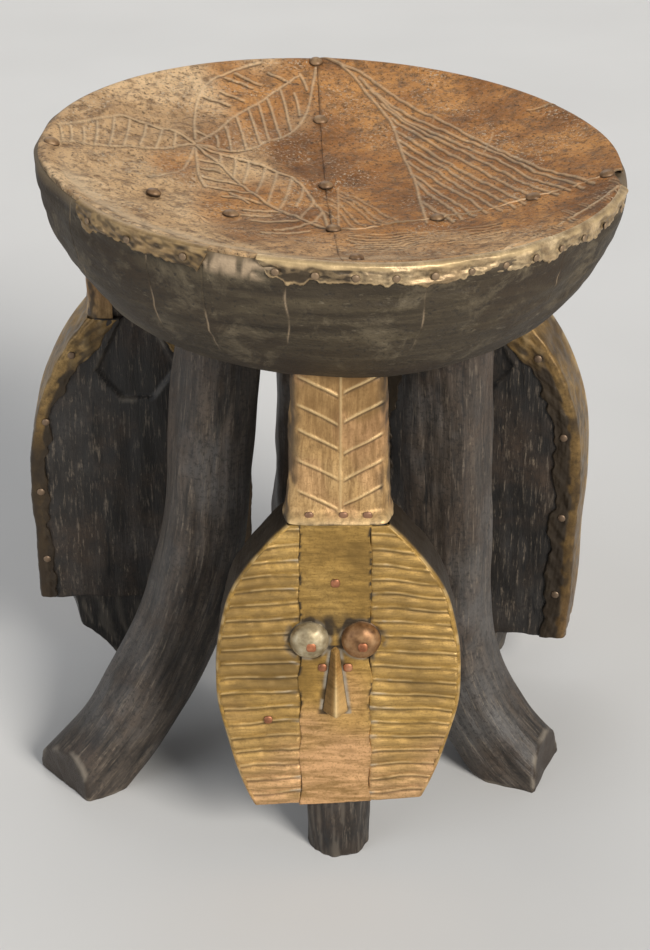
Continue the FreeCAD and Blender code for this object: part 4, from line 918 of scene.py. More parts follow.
# %% [markdown]
# ## Tacks and nails
# Domed tacks hold the lining, and small copper nails hold the strips. A head is half a squashed
# ball with a worn, uneven outline. A set of heads is one small dome after another, each turned to
# the normal of its place.

# %% Tacks and nails


def squared(turn, power):
    """Reach of the rounded square |x|^p + |y|^p = 1 at a turn: (|cos|^p + |sin|^p)^(-1/p)."""
    return (np.abs(np.cos(turn)) ** power + np.abs(np.sin(turn)) ** power) ** (-1 / power)


def heads(
    places, normals, radius, height, seed, rings=4, around=12, square=2.0, dirt=0.12, pale=0.0
):
    """Domes at places: ring k has radius sin and height cos of its angle; square over 2 makes
    cornered heads."""
    rng = np.random.default_rng(seed)
    normals = normals / np.linalg.norm(normals, axis=1, keepdims=True)
    helper = np.where(np.abs(normals[:, 2:3]) < 0.9, UP[None], np.array([[1.0, 0, 0]]))
    side = np.cross(helper, normals)
    side /= np.linalg.norm(side, axis=1, keepdims=True)
    other = np.cross(normals, side)
    turn = np.linspace(0, 2 * math.pi, around, endpoint=False)
    corner = squared(turn, square)
    tilt = np.radians(np.concatenate([[112], np.linspace(90, 90 / rings, rings)]))
    grime = np.array([1.0, 0.85] + [dirt] * (rings - 1))[:, None]
    patches = []
    for place, normal, u, v in zip(places, normals, side, other):
        wobble = corner * (1 + 0.09 * rng.normal(size=around).cumsum() * 0.2)
        out = (radius * np.sin(tilt)[:, None] * wobble[None, :])[..., None]
        up = (height * np.cos(tilt))[:, None, None]
        points = place + out * (np.cos(turn)[:, None] * u + np.sin(turn)[:, None] * v) + up * normal
        patches.append(faced(grid(points, True, (True, True), grime=grime, pale=pale)))
    return joined(patches)


TACKS = SEAT_RADIUS * np.array([
    (-0.065, 0.947), (-0.041, 0.547), (-0.947, -0.053), (-0.588, -0.294), (-0.329, -0.388),
    (-0.018, 0.006), (0.006, -0.459), (0.347, -0.329), (0.671, -0.2), (0.924, -0.1),
    (0.071, -0.912),
])
TACK_LIFT, TACK_WAY = 1.9, 12.0
tack_z = dish_height(TACKS[:, 0], TACKS[:, 1]) + TACK_LIFT
tack_points = from_seat(np.column_stack([TACKS, tack_z]))
tack_tips = from_seat(np.column_stack([TACKS * (1 - TACK_WAY / DISH_RADIUS), tack_z + TACK_WAY]))
tacks = heads(tack_points, tack_tips - tack_points, 4.4, 2.7, 91, 5, 16)
add_piece("seat_tack_heads", tacks, TACK_COPPER, "copper_pins", "seat_tacks")


def on_skirt(reach):
    """Places of the rim nails at a reach from the axis, level with the middle of the skirt."""
    level = np.full_like(reach, -NAIL_DROP)
    return from_seat(np.column_stack([reach * np.cos(RIM_NAILS), reach * np.sin(RIM_NAILS), level]))


nail_reach = 171.2 + rim_wave(RIM_NAILS)
nail_points, nail_tips = on_skirt(nail_reach), on_skirt(1.1 * nail_reach)
rim_nails = heads(nail_points, nail_tips - nail_points, 2.2, 0.9, 92, dirt=0.25, pale=0.45)
add_piece("rim_nail_heads", rim_nails, RIM_COPPER, "copper_pins", "rim_pins")

# %% [markdown]
# ## Plain legs
# Each plain leg runs straight down from the seat, then bends outward to a foot that is cut off by
# one steep plane. The section is a square with very round corners, carried along a path whose
# heading turns evenly in the bend. Each of its long lines stops where it meets the end plane or
# the floor, and rings that shrink to a point close the end and the sole. Adze facets are added
# across the section.

# %% Plain legs
LEG_TOP = 353.0
LEG_START = 30.0
LEG_ROUND = 26.0
LEGS = {
    "front_left": dict(
        azimuth=-67.5, reach=66.1, thick=48.5, lean=6, bend=183, radius=284, foot=55.5, run=8,
        end_azimuth=-49, end_tilt=3, end_reach=174.6,
    ),
    "front_right": dict(
        azimuth=67, reach=71.9, thick=50, lean=1.5, bend=113, radius=144, foot=52.5, run=50,
        end_azimuth=68, end_tilt=-6, end_reach=147.6,
    ),
    "rear": dict(
        azimuth=187, reach=72.9, thick=54, lean=5, bend=170, radius=220, foot=50, run=50,
        end_azimuth=187, end_tilt=10, end_reach=187.9,
    ),
}


def leg_lengths(leg):
    """Lengths of a leg's straight shank and of its bend along the path."""
    lean, foot = math.radians(leg["lean"]), math.radians(leg["foot"])
    return (LEG_TOP - leg["bend"]) / math.cos(lean), leg["radius"] * (foot - lean)


def leg_skin(leg, s, turn, seed):
    """Point on a leg by way s and turn: the path's point plus the section |x|^3 + |y|^3 = half^3
    across it."""
    lean, foot, radius = math.radians(leg["lean"]), math.radians(leg["foot"]), leg["radius"]
    straight, bend = leg_lengths(leg)
    heading = lean + np.clip((s - straight) / radius, 0, foot - lean)
    shank, run = np.minimum(s, straight), np.maximum(s - straight - bend, 0)
    out = leg["reach"] + shank * math.sin(lean)
    out = out + radius * (math.cos(lean) - np.cos(heading)) + run * math.sin(foot)
    up = LEG_TOP - shank * math.cos(lean)
    up = up - radius * (np.sin(heading) - math.sin(lean)) - run * math.cos(foot)
    unrolled = (s / 2.8, LEG_ROUND * np.cos(turn), LEG_ROUND * np.sin(turn))
    skin = np.stack(np.broadcast_arrays(*unrolled), -1)
    carve = 0.7 * wander(skin, 27, seed) + 0.3 * wander(skin * [0.5, 1, 1], 8, seed + 1)
    half = leg["thick"] / 2 * squared(turn, 3) + carve
    azimuth = math.radians(leg["azimuth"])
    ahead = np.array([math.sin(azimuth), -math.cos(azimuth), 0])
    aside = np.array([math.cos(azimuth), math.sin(azimuth), 0])
    across = (out + half * np.cos(turn) * np.cos(heading))[..., None]
    height = (up + half * np.cos(turn) * np.sin(heading))[..., None]
    return AXIS + across * ahead + (half * np.sin(turn))[..., None] * aside + height * UP


def plain_leg(leg, seed, rows=200, around=144):
    """Skin to the end plane n . p = d or to the floor, closed by rings towards the middle of
    their common edge."""
    azimuth, tilt = math.radians(leg["end_azimuth"]), math.radians(leg["end_tilt"])
    flat = np.array([math.sin(azimuth), -math.cos(azimuth), 0.0])
    normal = flat * math.cos(tilt) - UP * math.sin(tilt)
    turn = np.linspace(0, 2 * math.pi, around, endpoint=False)[None, :]
    way = np.linspace(LEG_START, sum(leg_lengths(leg)) + leg["run"] + 20, 900)[:, None]
    skin = leg_skin(leg, way, turn, seed)
    past_end = (skin @ normal > (AXIS + flat * leg["end_reach"]) @ normal).argmax(0)
    past_floor = (skin[..., 2] < 0).argmax(0)
    stands = (past_floor > 0) & ((past_end == 0) | (past_floor < past_end))
    stop = way[np.where(stands, past_floor, past_end), 0][None, :]
    share = np.linspace(0, 1, rows)[:, None]
    s = LEG_START + (stop - LEG_START) * share
    skin = leg_skin(leg, s, turn, seed)
    rim = skin[-1]
    middle = rim[stands != np.roll(stands, 1)].mean(0)
    inward = np.array([0.02, 0.05, 0.1, 0.2, 0.4, 0.6, 0.8, 0.95, 0.99])[:, None, None]
    face = rim + (middle - rim) * inward
    hewn = 0.5 * wander(face, 16, seed + 2)[..., None] * smooth(0.05, 0.3, inward)
    face = face + normal * (0.9 * smooth(0, 0.06, inward) + hewn) * ~stands[None, :, None]
    points = np.concatenate([skin, face])
    points[..., 2] = np.maximum(points[..., 2], 0.0)
    unrolled = (LEG_ROUND * np.cos(turn), LEG_ROUND * np.sin(turn), s)
    along = np.stack(np.broadcast_arrays(*unrolled), -1)
    fibre = np.concatenate([along, along[-1] * (1 - inward * [1, 1, 0])]) + 97.0 * seed
    cut = np.concatenate([0.5 * smooth(0.988, 1.0, share[:, 0]), np.full(len(inward), 0.85)])
    worn = np.concatenate([smooth(0.990, 0.999, share[:, 0]), [1.0, 0.8, 0.3, 0, 0, 0, 0, 0, 0]])
    worn = 0.6 * worn[:, None] * smooth(-0.5, 0.6, wander(points, 13, seed + 3))
    return grid(points, True, (True, True), fibre, end=cut[:, None], worn=worn)


for number, (name, leg) in enumerate(LEGS.items()):
    wood = faced(plain_leg(leg, 101 + 5 * number))
    add_piece(f"leg_{name}_wood", wood, LEG_WOOD, "leg_wood", f"leg_{name}")

# %% [markdown]
# ## Cores of the mask legs
# A mask leg is one carved piece: a post under the seat, the head board, and a stub that stands on
# the floor. The board's outline is two arcs on each side. Its back is bare and slightly swollen,
# with a ledge shaped like a U where the post begins. Post, board and stub are three closed forms
# that share their wood.

# %% Mask cores
BOARD_FRONT, BOARD_BACK = 23.8, 18.0
POST_HALF, POST_FRONT, POST_BACK = 27.5, 20.0, 14.0
RECESS_HALF, RECESS_TAPER = 25.0, 17.0
RECESS_DROP, RECESS_CORNER = 56.0, 36.0
SLANT = 0.060


def board_half(figure, z):
    """Half width of the board: arcs that stand upright at the widest height and end at the post
    and the foot."""
    half, widest = figure["half"], figure["widest"]
    above = z > widest
    across = np.where(above, half - POST_HALF, half - figure["foot"])
    rise = np.where(above, figure["top"] - widest, widest - figure["bottom"])
    radius = (across**2 + rise**2) / (2 * np.maximum(across, 0.5))
    hewn = 0.35 * wander(np.asarray(z, float)[..., None], 60, 12 + int(figure["yaw"]))
    return half - radius + np.sqrt(np.maximum(radius**2 - (z - widest) ** 2, 0)) + hewn


def settle(figure, x, z):
    """Heights near the foot of the front board, which is cut off aslant: lower at its left than
    at its right."""
    slant = SLANT if figure is FRONT_MASK else 0.0
    return z + slant * x * smooth(figure["bottom"] + 70, figure["bottom"], z)


def recess_wall(figure, z):
    """Half width of the recess in the back: full below, narrowing towards the top of the board."""
    rise = np.clip((z - figure["top"] + RECESS_CORNER) / RECESS_CORNER, 0, 1)
    return RECESS_HALF - RECESS_TAPER * rise


def recess(figure, x, z):
    """How far a point of the back lies inside the recess below the post: a U with slanted
    corners, in mm."""
    x = np.abs(x)
    floor = figure["top"] - RECESS_DROP + 20 * np.clip((x - 10) / 15, 0, 1.2)
    return np.minimum(z - floor, recess_wall(figure, z) - x)


def back_depth(figure, x, z):
    """Depth of the board's back: BOARD_BACK, falling 3 mm to the edges and 3.2 mm into the
    recess."""
    share = np.clip(np.abs(x) / np.maximum(board_half(figure, z), 1), 0, 1)
    return BOARD_BACK - 3.0 * share**3 - 3.2 * smooth(-0.6, 1.0, recess(figure, x, z))


def board(figure, seed, rows=165, around=230):
    """Loops at equal heights: a flat front, round edges and the swollen back, closed at both
    ends."""
    z = np.linspace(figure["bottom"], figure["top"], rows)
    ends = np.array([0.6, 0.9, 0.97])
    z = np.concatenate([np.full(3, z[0]), z, np.full(3, z[-1])])[:, None]
    inset = np.concatenate([ends, np.ones(rows), ends[::-1]])[:, None]
    t = np.linspace(0, 2 * math.pi, around, endpoint=False)[None, :]
    corner = squared(t, 7.0)
    x = corner * np.cos(t) * (board_half(figure, z) - 0.3) * inset
    side = corner * np.sin(t)
    place = np.stack([x, 40 * np.sign(side) + 0 * x, z / 2 + 0 * x], -1)
    hew = 0.7 * wander(place, 42, seed) + 0.3 * wander(place * [1, 1, 0.4], 10, seed + 1)
    back = back_depth(figure, x, z) + hew * smooth(0.2, 1.0, side)
    y = np.where(side > 0, side * back, side * BOARD_FRONT)
    y = y * np.where(inset < 1, 0.2 + 0.8 * inset, 1.0)
    ragged = 1.2 * wander(place * [1, 0, 0], 30, seed + 2) * smooth(8, 0, z - figure["bottom"])
    points = np.stack([x, y, settle(figure, x, z + np.maximum(ragged, -0.5))], -1)
    # painted highlight: a pale line along the ledge of the recess, laid by the mark worn
    ledge = np.exp(-((recess(figure, x, z) + 0.9) ** 2) / 2.2) * smooth(0.3, 0.8, side)
    worn = 0.38 * ledge * smooth(-0.6, 0.5, wander(place, 12, seed + 3))
    stood = from_figure(figure, points)
    return faced(grid(stood, True, (True, True), points + 61 * seed, end=0.0, worn=worn))


def post_loop(turn, grow):
    """Loop of the post's section: a rectangle with round corners, deeper in front than behind."""
    x = squared(turn, 5.0) * np.cos(turn) * (POST_HALF + grow)
    y = squared(turn, 5.0) * np.sin(turn)
    return x, np.where(y > 0, y * (POST_BACK + grow), y * (POST_FRONT + grow))


def post_top(figure, x, y):
    """Height in the mask room where the post at (x, y) is 4 mm inside the seat, at most 352."""
    seen = from_figure(figure, np.stack([x, y, np.full_like(x, 310.0)], -1))
    return np.minimum(underside(seen[..., 0], seen[..., 1]) + 4, 352.0)


def post(figure, seed, rows=40, around=96):
    """The post's loop carried from inside the board up into the seat, a little slimmer above."""
    t = np.linspace(0, 2 * math.pi, around, endpoint=False)
    x, y = post_loop(t, 0.0)
    low = figure["top"] - 30
    share = np.linspace(0, 1, rows)[:, None]
    z = low + (post_top(figure, x, y)[None, :] - low) * share
    place = np.stack([x + 0 * z, y + 0 * z, z * 0.4], -1)
    hew = 1 + 0.016 * wander(place, 18, seed)
    points = np.stack([x * hew * (1 - 0.07 * share), y * hew, z], -1)
    stood = from_figure(figure, points)
    return faced(grid(stood, True, (True, True), points + 61 * seed, end=0.0, worn=0.0))


def stub(figure, seed, rows=64, around=96):
    """Rough stub: radius by height through a foot, a waist, a shoulder and the board, no deeper
    than the board."""
    t = np.linspace(0, 2 * math.pi, around, endpoint=False)[None, :]
    z = np.linspace(-4, figure["bottom"] + 3.5, rows)[:, None]
    top, waist = figure["stub"], 20.0 if figure["stub"] > 20 else 18.5
    middle = 0.62 * figure["bottom"]
    heights = [0, 14, middle - 8, middle + 6, figure["bottom"]]
    narrow, wide = 0.35 * top + 0.65 * waist, 0.75 * top + 0.25 * waist
    r = np.interp(z, heights, [18, waist, narrow, wide, top * 0.9 + 2])
    place = np.stack(np.broadcast_arrays(30 * np.cos(t), 30 * np.sin(t), z * 0.5), -1)
    r = r * (1 + 0.025 * np.cos(7 * t + seed) + 0.022 * wander(place, 13, seed))
    points = np.stack([r * np.cos(t), np.clip(r * np.sin(t), -23.2, 17.2), z + 0 * t], -1)
    stood = from_figure(figure, points)
    stood[..., 2] = np.maximum(stood[..., 2], 0)
    worn = 0.2 * smooth(0.3, 1.0, wander(place * [1, 1, 0.25], 5, seed + 1))
    end = 0.6 * smooth(12, 0, z)
    return faced(grid(stood, True, (True, True), points + 61 * seed, end=end, worn=worn))


for number, (name, figure) in enumerate(FIGURES.items()):
    forms = [board(figure, 131 + number), post(figure, 141 + number), stub(figure, 151 + number)]
    add_piece(f"{name}_mask_core", joined(forms), BOARD_WOOD, "leg_wood", f"figure_{name}")

# %% [markdown]
# ## Ribbed cheeks
# The most skilful work on the object: the cheeks are brass pressed from behind into level ribs
# that droop a little towards the edge. A cheek is a grid from the middle band to the outline. Its
# height is a train of narrow ridges over gentle swells, cut back where the eye boss sits. Each
# ridge is painted pale as a highlight, with painted shade just under it.

# %% Cheeks
FACE = 25.0
BAND_MIDDLE, BAND_HALF = -1.8, 20.5
EYE_OUT, EYE_DROP = 14.8, 72.0
RIB_PITCH = 9.4


def rib_field(figure, side, x, z, seed):
    """Ridge strength, swell and distance from the ridge: ridges stand at whole numbers of
    (height + droop) / RIB_PITCH, with small jitter."""
    high = smooth(figure["widest"], figure["top"], z)
    droop = (0.0010 + 0.0022 * high) * (np.abs(x) - 20) ** 2
    droop = droop + 0.6 * wander(np.stack([x, z], -1), 45, seed)
    row = (z - figure["bottom"] + droop + (2.5 if side > 0 else 0.0)) / RIB_PITCH
    number = np.round(row)
    away = (row - number - 0.07 * np.sin(number * 12.9 + seed)) * RIB_PITCH
    fade = smooth(-0.95, -0.35, wander(np.stack([x * 1.4, number * 17], -1), 30, seed + 1))
    ridge = np.exp(-((away / 0.62) ** 2)) * (0.3 + 0.7 * fade)
    swell = 0.5 - 0.5 * np.cos(2 * math.pi * np.clip(np.abs(away) / RIB_PITCH, 0, 0.5))
    return ridge, swell, away


def cheek(figure, side, seed, rows=380, columns=60):
    """Sheet from the band to the outline: x = inner (1 - s) + outer s, y = face - ridges -
    swells."""
    t, row_drop = hemmed(rows)
    s, column_drop = hemmed(columns)
    tall = figure["top"] - figure["bottom"]
    z = (figure["bottom"] + 0.3 + (tall - 0.6) * t)[:, None] + 0 * s[None]
    foot = z - figure["bottom"]
    inner = BAND_MIDDLE + side * (BAND_HALF - 0.6)
    outer = side * (board_half(figure, z) - 0.2)
    x = inner * (1 - s[None]) + outer * s[None]
    ridge, swell, away = rib_field(figure, side, x, z, seed)
    flat = np.stack([x, z], -1)
    dent = 0.35 * wander(flat, 40, seed + 2) + 0.12 * wander(flat, 9, seed + 3)
    eye = np.hypot(x - BAND_MIDDLE - side * EYE_OUT, z - figure["top"] + EYE_DROP)
    calm = smooth(11.0, 14.5, eye) * smooth(0, 0.05, s)[None] * smooth(0, 0.02, 1 - s)[None]
    raised = np.maximum((0.6 * ridge + 1.15 * swell) * calm + dent, -0.2)
    drop = np.maximum(row_drop[:, None], column_drop[None]) * 0.7
    y = -FACE - 0.3 - raised + drop + 0.9 * smooth(0.97, 1.0, s)[None]
    # painted shade: a dark band just under each ridge, as if lit from above; it also gathers dust
    # near the band
    under = smooth(-2.4, -1.2, away) * smooth(-0.2, -1.0, away)
    pale = smooth(-0.1, 0.8, wander(flat, 16, seed + 7))
    dust = 0.55 * ridge * smooth(0.45, 0.05, s)[None] + 0.35 * smooth(0.16, 0.0, s)[None] * under
    dirt = smooth(0.05, 0.0, s)[None] * smooth(-0.1, 0.5, wander(flat, 7, seed + 4))
    dirt = dirt * (0.25 + 0.75 * smooth(35, 85, foot))
    halo = smooth(17, 11.5, eye) * smooth(-0.4, 0.6, wander(flat, 9, seed + 6))
    stain = 0.35 * smooth(0.2, 0.9, wander(flat * [1.0, 1.8], 38, seed + 8))
    points = np.stack([x, y, settle(figure, x, z)], -1)
    # grime holds painted shade under the ridges beside dirt, rings round the eye and stains; ridge
    # is a painted highlight on the ribs and their swells
    return grid(
        from_figure(figure, points),
        grime=np.clip(0.5 * under * calm + 0.85 * dirt + 0.7 * halo + 0.4 * stain, 0, 0.92),
        dust=np.where(eye < 17, 0.3 * halo, np.clip(dust * pale, 0, 0.6)),
        ridge=(0.35 * ridge + 0.10 * swell) * calm,
        low=0.8 * smooth(62, 8, foot + 9 * wander(flat, 50, seed + 5)),
    )


def facing(figure):
    """Heading in which a mask looks, on the floor plan."""
    yaw = math.radians(figure["yaw"])
    return np.array([math.sin(yaw), -math.cos(yaw), 0.0])


for number, (name, figure) in enumerate(FIGURES.items()):
    for word, side in (("left", -1), ("right", 1)):
        patch = faced(cheek(figure, side, 161 + 20 * number + 7 * side), facing(figure))
        piece, node = f"{name}_ribbed_cheek_{word}", f"{name}_cheek_{word}"
        add_piece(piece, patch, FACE_BRASS, "face_brass", node)

# %% [markdown]
# ## The middle band, eyes and nose
# A plain band of brass runs down the face and covers the inner edges of the cheeks. Grime is
# caught along its borders and round the eyes. The eyes are domes beaten from sheet, each with a
# nail for a pupil, and the nose is a folded wedge. The band is a grid, the eyes are turned
# profiles, and the nose is a ridge that widens downward.

# %% Band
NOSE_DROP, NOSE_LENGTH = 79.0, 40.0


def face_band(figure, seed, rows=260, columns=64):
    """Sheet: y = face - dents, with dirt where the distance to eyes, nose and borders is small."""
    t, row_drop = hemmed(rows)
    s, column_drop = hemmed(columns)
    top, bottom = figure["top"], figure["bottom"]
    z = (bottom - 0.6 + (top - bottom + 0.8) * t)[:, None] + 0 * s[None]
    border = 0.7 * wander(z[:, 0], 30, seed)[:, None] * (2 * s[None] - 1)
    x = BAND_MIDDLE + BAND_HALF * (2 * s[None] - 1) + border
    flat = np.stack([x, z], -1)
    dent = 0.35 * wander(flat, 34, seed + 1) + 0.10 * wander(flat, 8, seed + 2)
    across, above = np.abs(x - BAND_MIDDLE), z - top + EYE_DROP
    eyes = np.hypot(across - EYE_OUT, above)
    nose_half = 2.4 + 5.2 * np.clip((top - NOSE_DROP - z) / NOSE_LENGTH, 0, 1)
    beside = np.where((z < top - 76) & (z > top - 121), across - nose_half, 30.0)
    drop = np.maximum(row_drop[:, None], column_drop[None]) * 0.8
    y = -FACE - 1.15 - dent * smooth(10, 16, eyes) + drop
    patchy = smooth(-0.5, 0.7, wander(flat * [1, 1.6], 15, seed + 3))
    caught = smooth(0.05, 0.0, np.minimum(s, 1 - s)[None])
    caught = caught * smooth(-0.1, 0.5, wander(flat, 6, seed + 4))
    caught = caught * (0.25 + 0.75 * smooth(35, 85, z - bottom))
    brow = smooth(11, 2, np.abs(above - 10)) * smooth(21, 13, across)
    grime = 0.95 * caught + smooth(16, 11.5, eyes) * (0.35 + 0.6 * patchy)
    grime = grime + 0.85 * smooth(4, 0.5, beside) * (0.3 + 0.7 * patchy)
    grime = grime + 0.85 * brow * (0.5 + 0.5 * patchy) + 0.2 * smooth(8, 24, above)
    dust = 0.8 * (smooth(2.6, 0.6, beside) + smooth(14.0, 11.6, eyes)) * (1 - patchy)
    low = 0.85 * smooth(88, 30, z - bottom + 10 * wander(flat, 40, seed + 5))
    points = np.stack([x, y, settle(figure, x, z)], -1)
    marks = dict(grime=np.clip(grime, 0, 0.95), dust=np.clip(dust, 0, 0.75), low=low, ridge=0.0)
    return grid(from_figure(figure, points), **marks)


for number, (name, figure) in enumerate(FIGURES.items()):
    patch = faced(face_band(figure, 221 + 9 * number), facing(figure))
    add_piece(f"{name}_middle_band", patch, FACE_BRASS, "face_brass", f"{name}_face_band")

# %% Eyes and nose


def eye_dome(figure, side, dented, rows=26, around=56):
    """Turned profile: radius 11.3 sin, height 8.6 cos^0.9, a narrow hem, and one shallow dent
    beside the top."""
    tilt = np.radians(np.concatenate([[90, 90], np.linspace(90, 4, rows)]))[:, None]
    turn = np.linspace(0, 2 * math.pi, around, endpoint=False)[None, :]
    r = 11.3 * np.sin(tilt) + 0 * turn
    h = 8.6 * np.cos(tilt) ** 0.9 + 0 * turn
    r[0], r[1] = 11.9, 11.6
    h[0], h[1] = -1.6, 0.25
    x, z = r * np.cos(turn), r * np.sin(turn)
    hollow = np.exp(-((x - 1.0) ** 2 + (z + 1.5) ** 2) / 9.0)
    h = h + 0.12 * wander(np.stack([x, z], -1), 7, 241 + side) - (1.3 if dented else 0.35) * hollow
    middle = BAND_MIDDLE + side * EYE_OUT
    points = np.stack([middle + x, -FACE - 1.0 - h, figure["top"] - EYE_DROP + z], -1)
    grime = np.clip(smooth(0.9, -0.2, h) + 0.5 * hollow * dented, 0, 0.95)
    dome = grid(from_figure(figure, points), True, (False, True), grime=grime, pale=0.0)
    return faced(dome, facing(figure))


def nose(figure, rows=70, columns=44):
    """Folded wedge: half width 2.6 to 7.8 and ridge 5.6 to 11.2 down its length, falling off at
    both ends."""
    t = np.linspace(-0.06, 1.03, rows)[:, None]
    c = np.linspace(-1, 1, columns)[None, :]
    down = np.clip(t, 0, 1)
    half = (2.6 + 5.2 * down**1.15) * smooth(-0.06, 0.02, t) ** 0.5
    half = half * (1 - 0.25 * smooth(0.97, 1.03, t))
    crest = (5.6 + 5.6 * down) * smooth(-0.06, 0.03, t) ** 0.5 * smooth(1.03, 0.975, t)
    fold = np.clip(1 - np.sqrt(c**2 + 0.012) + 0.11, 0, 1)
    x = BAND_MIDDLE + half * c + 0.4 * (1 - c**2)
    z = figure["top"] - NOSE_DROP - NOSE_LENGTH * t + 0 * c
    # painted shade: the left facet and both edges of the nose are darkened
    shade = 0.5 * smooth(0.05, 0.5, -c) * smooth(-0.05, 0.2, t) + 0.8 * smooth(0.9, 1.0, np.abs(c))
    # painted highlight: along the crest and on the right facet
    ridge = (0.7 * np.exp(-((c / 0.2) ** 2)) + 0.3 * smooth(0.05, 0.3, c)) * smooth(0.2, 0.7, t)
    points = np.stack([x, -FACE - 0.6 - crest * fold, z], -1)
    marks = dict(grime=np.clip(shade, 0, 0.9), ridge=ridge, low=0.25, dust=0.0)
    return faced(grid(from_figure(figure, points), **marks), facing(figure))


for name, figure in FIGURES.items():
    left, right = eye_dome(figure, -1, 0), eye_dome(figure, 1, 1)
    add_piece(f"{name}_eye_boss_left", left, EYE_PALE, "face_brass", f"{name}_eye_left")
    add_piece(f"{name}_eye_boss_right", right, EYE_COPPER, "face_brass", f"{name}_eye_right")
    add_piece(f"{name}_folded_nose", nose(figure), FACE_BRASS, "face_brass", f"{name}_nose")

# %% [markdown]
# ## Folded edges
# Sheet is wrapped round the rim of each board and turned over on the back as an uneven margin.
# The section starts under the face, bends round the front corner, runs across the board's
# thickness and ends in the margin. It is carried up both sides of the outline, and the margin's
# width wanders.

# %% Folded edges


def fold_section(figure, side, z, half, margin):
    """Section (inset, depth) at heights z: inset is the way in from the edge, depth goes to the
    back; a hem under the face, the edge, a round corner and the margin follow each other."""
    lead = np.linspace(0, 1, 8)[None]
    hem = (
        1.9 * (1 - lead) - 0.7 * smooth(0.4, 1, lead),
        -FACE - 0.75 + 1.5 * smooth(0.5, 1, lead) ** 2,
    )
    walk = np.linspace(0, 1, 16)[None]
    edge = np.full_like(walk, -0.9), -22.5 + 35.5 * walk
    turn = np.linspace(0, 1, 7)[None, 1:] * math.pi / 2
    corner = 2.0 - 2.9 * np.cos(turn), 13.5 + 2.6 * np.sin(turn)
    over = np.linspace(0, 1, 22)[None, 1:]
    inset = 2.0 + (margin - 2.0) * over
    depth = back_depth(figure, side * (half - inset), z) + 1.0 - 1.6 * smooth(0.965, 1.0, over)
    parts = [hem, edge, corner, (inset, depth)]
    return [np.concatenate([part[k] + 0 * z for part in parts], axis=1) for k in (0, 1)]


def edge_fold(figure, side, seed, rows=260):
    """Section carried up the outline: x = half - inset, y = depth, with dents across both."""
    bottom, top = figure["bottom"], figure["top"]
    z = bottom + 0.4 + (top - bottom - 0.8) * np.linspace(0, 1, rows)[:, None]
    half = board_half(figure, z)
    ragged = 1.6 * wander(z, 40, seed)[:, None] + 0.6 * wander(z, 9, seed + 1)[:, None]
    shoulder = smooth(top - 44, top - 16, z)
    widened = half - recess_wall(figure, z) - figure["margin"] - 2.5
    margin = np.clip(figure["margin"] + ragged + widened * shoulder, 6.5, 34)
    inset, depth = fold_section(figure, side, z, half, margin)
    place = np.stack([inset * 2, depth * 2, z + 0 * inset], -1)
    bump = 0.5 * wander(place, 17, seed + 2) + 0.25 * wander(place, 6, seed + 3)
    bump = bump + 0.7 * shoulder * np.sin(inset * 0.55 + z * 0.42)
    on_wall = smooth(-24, -16, depth)
    on_back = smooth(3.0, 6.0, inset) * smooth(0, 1, depth)
    worn = 0.7 * wander(place, 26, seed + 4) + 0.5 * wander(place, 8, seed + 5)
    worn = smooth(-0.3, 1.3, worn)
    inner = smooth(3.0, 7.0, inset + 2.0 * bump) * on_back * (1 - 0.75 * shoulder)
    side_dirt = 0.25 * smooth(-20, -5, depth) * (1 - shoulder)
    grime = 0.45 * worn * on_wall + side_dirt + 0.76 * inner + 0.2 * worn * inner
    grime = np.clip(grime, 0, 0.94)
    if figure is REAR_LEFT_MASK:
        black = (0.88 + 0.07 * worn) * smooth(212, 180, z) * smooth(-22, -10, depth)
        grime = np.maximum(grime, black)
    if figure is FRONT_MASK:
        grime = np.maximum(grime, 0.95 * smooth(-24.2, -21.5, depth))
    tail = np.linspace(0, 1, inset.shape[1])[None]
    grime = np.maximum(grime, 0.7 * smooth(0.95, 1.0, tail))
    rubbed = smooth(-0.3, 0.9, wander(z, 16, seed + 6))[:, None]
    ridge = 0.4 * rubbed * smooth(0.06, 0.10, tail) * smooth(0.22, 0.15, tail)
    ridge = ridge + 0.2 * smooth(0.1, 0.9, bump) * on_back
    x = side * (half - inset + 0.45 * bump * on_wall * (1 - on_back))
    y = depth + 0.6 * np.maximum(bump, -0.6) * on_back
    points = np.stack([x, y, settle(figure, x, z + 0 * x)], -1)
    marks = dict(grime=grime, ridge=ridge, low=0.5 * smooth(50, 10, z - bottom), dust=0.0)
    return grid(from_figure(figure, points), **marks)


for number, (name, figure) in enumerate(FIGURES.items()):
    yaw = math.radians(figure["yaw"])
    aside = np.array([math.cos(yaw), math.sin(yaw), 0.0])
    halves = [
        faced(edge_fold(figure, side, 261 + 30 * number + 9 * side), side * aside)
        for side in (-1, 1)
    ]
    finish = FACE_BRASS if figure is FRONT_MASK else MARGIN_BRASS
    add_piece(f"{name}_edge_margin", joined(halves), finish, "face_brass", f"{name}_edge_fold")

# %% [markdown]
# ## Posts wrapped in brass
# The post of each mask is wrapped in brass with raised chevrons: a line down the middle and pairs
# of strokes that meet on it. The wrap follows the post's section from one back edge to the other,
# and the strokes are ridges in a height map over the way round and the height. A painted shadow
# lies just under each stroke.

# %% Post sheets
CHEVRONS = (8.0, 25.0, 42.0, 59.0, 76.0, 93.0)


def chevrons(across, height):
    """Ridge strength: the middle line, and strokes where height = place + 0.58 |across| for each
    place, bent down a little."""
    out = np.abs(across)
    middle = 0.8 * np.exp(-((across / 0.65) ** 2)) * smooth(2, 6, height)
    reach = smooth(25, 22, out) * smooth(1.0, 2.2, out)
    lines = 0 * across
    for place in CHEVRONS:
        way = place + 0.58 * out - 0.003 * across**2 + 1.5 * np.sign(across) * np.sin(place)
        lines = np.maximum(lines, np.exp(-(((height - way) / 0.8) ** 2)) * reach)
    return np.maximum(middle, lines)


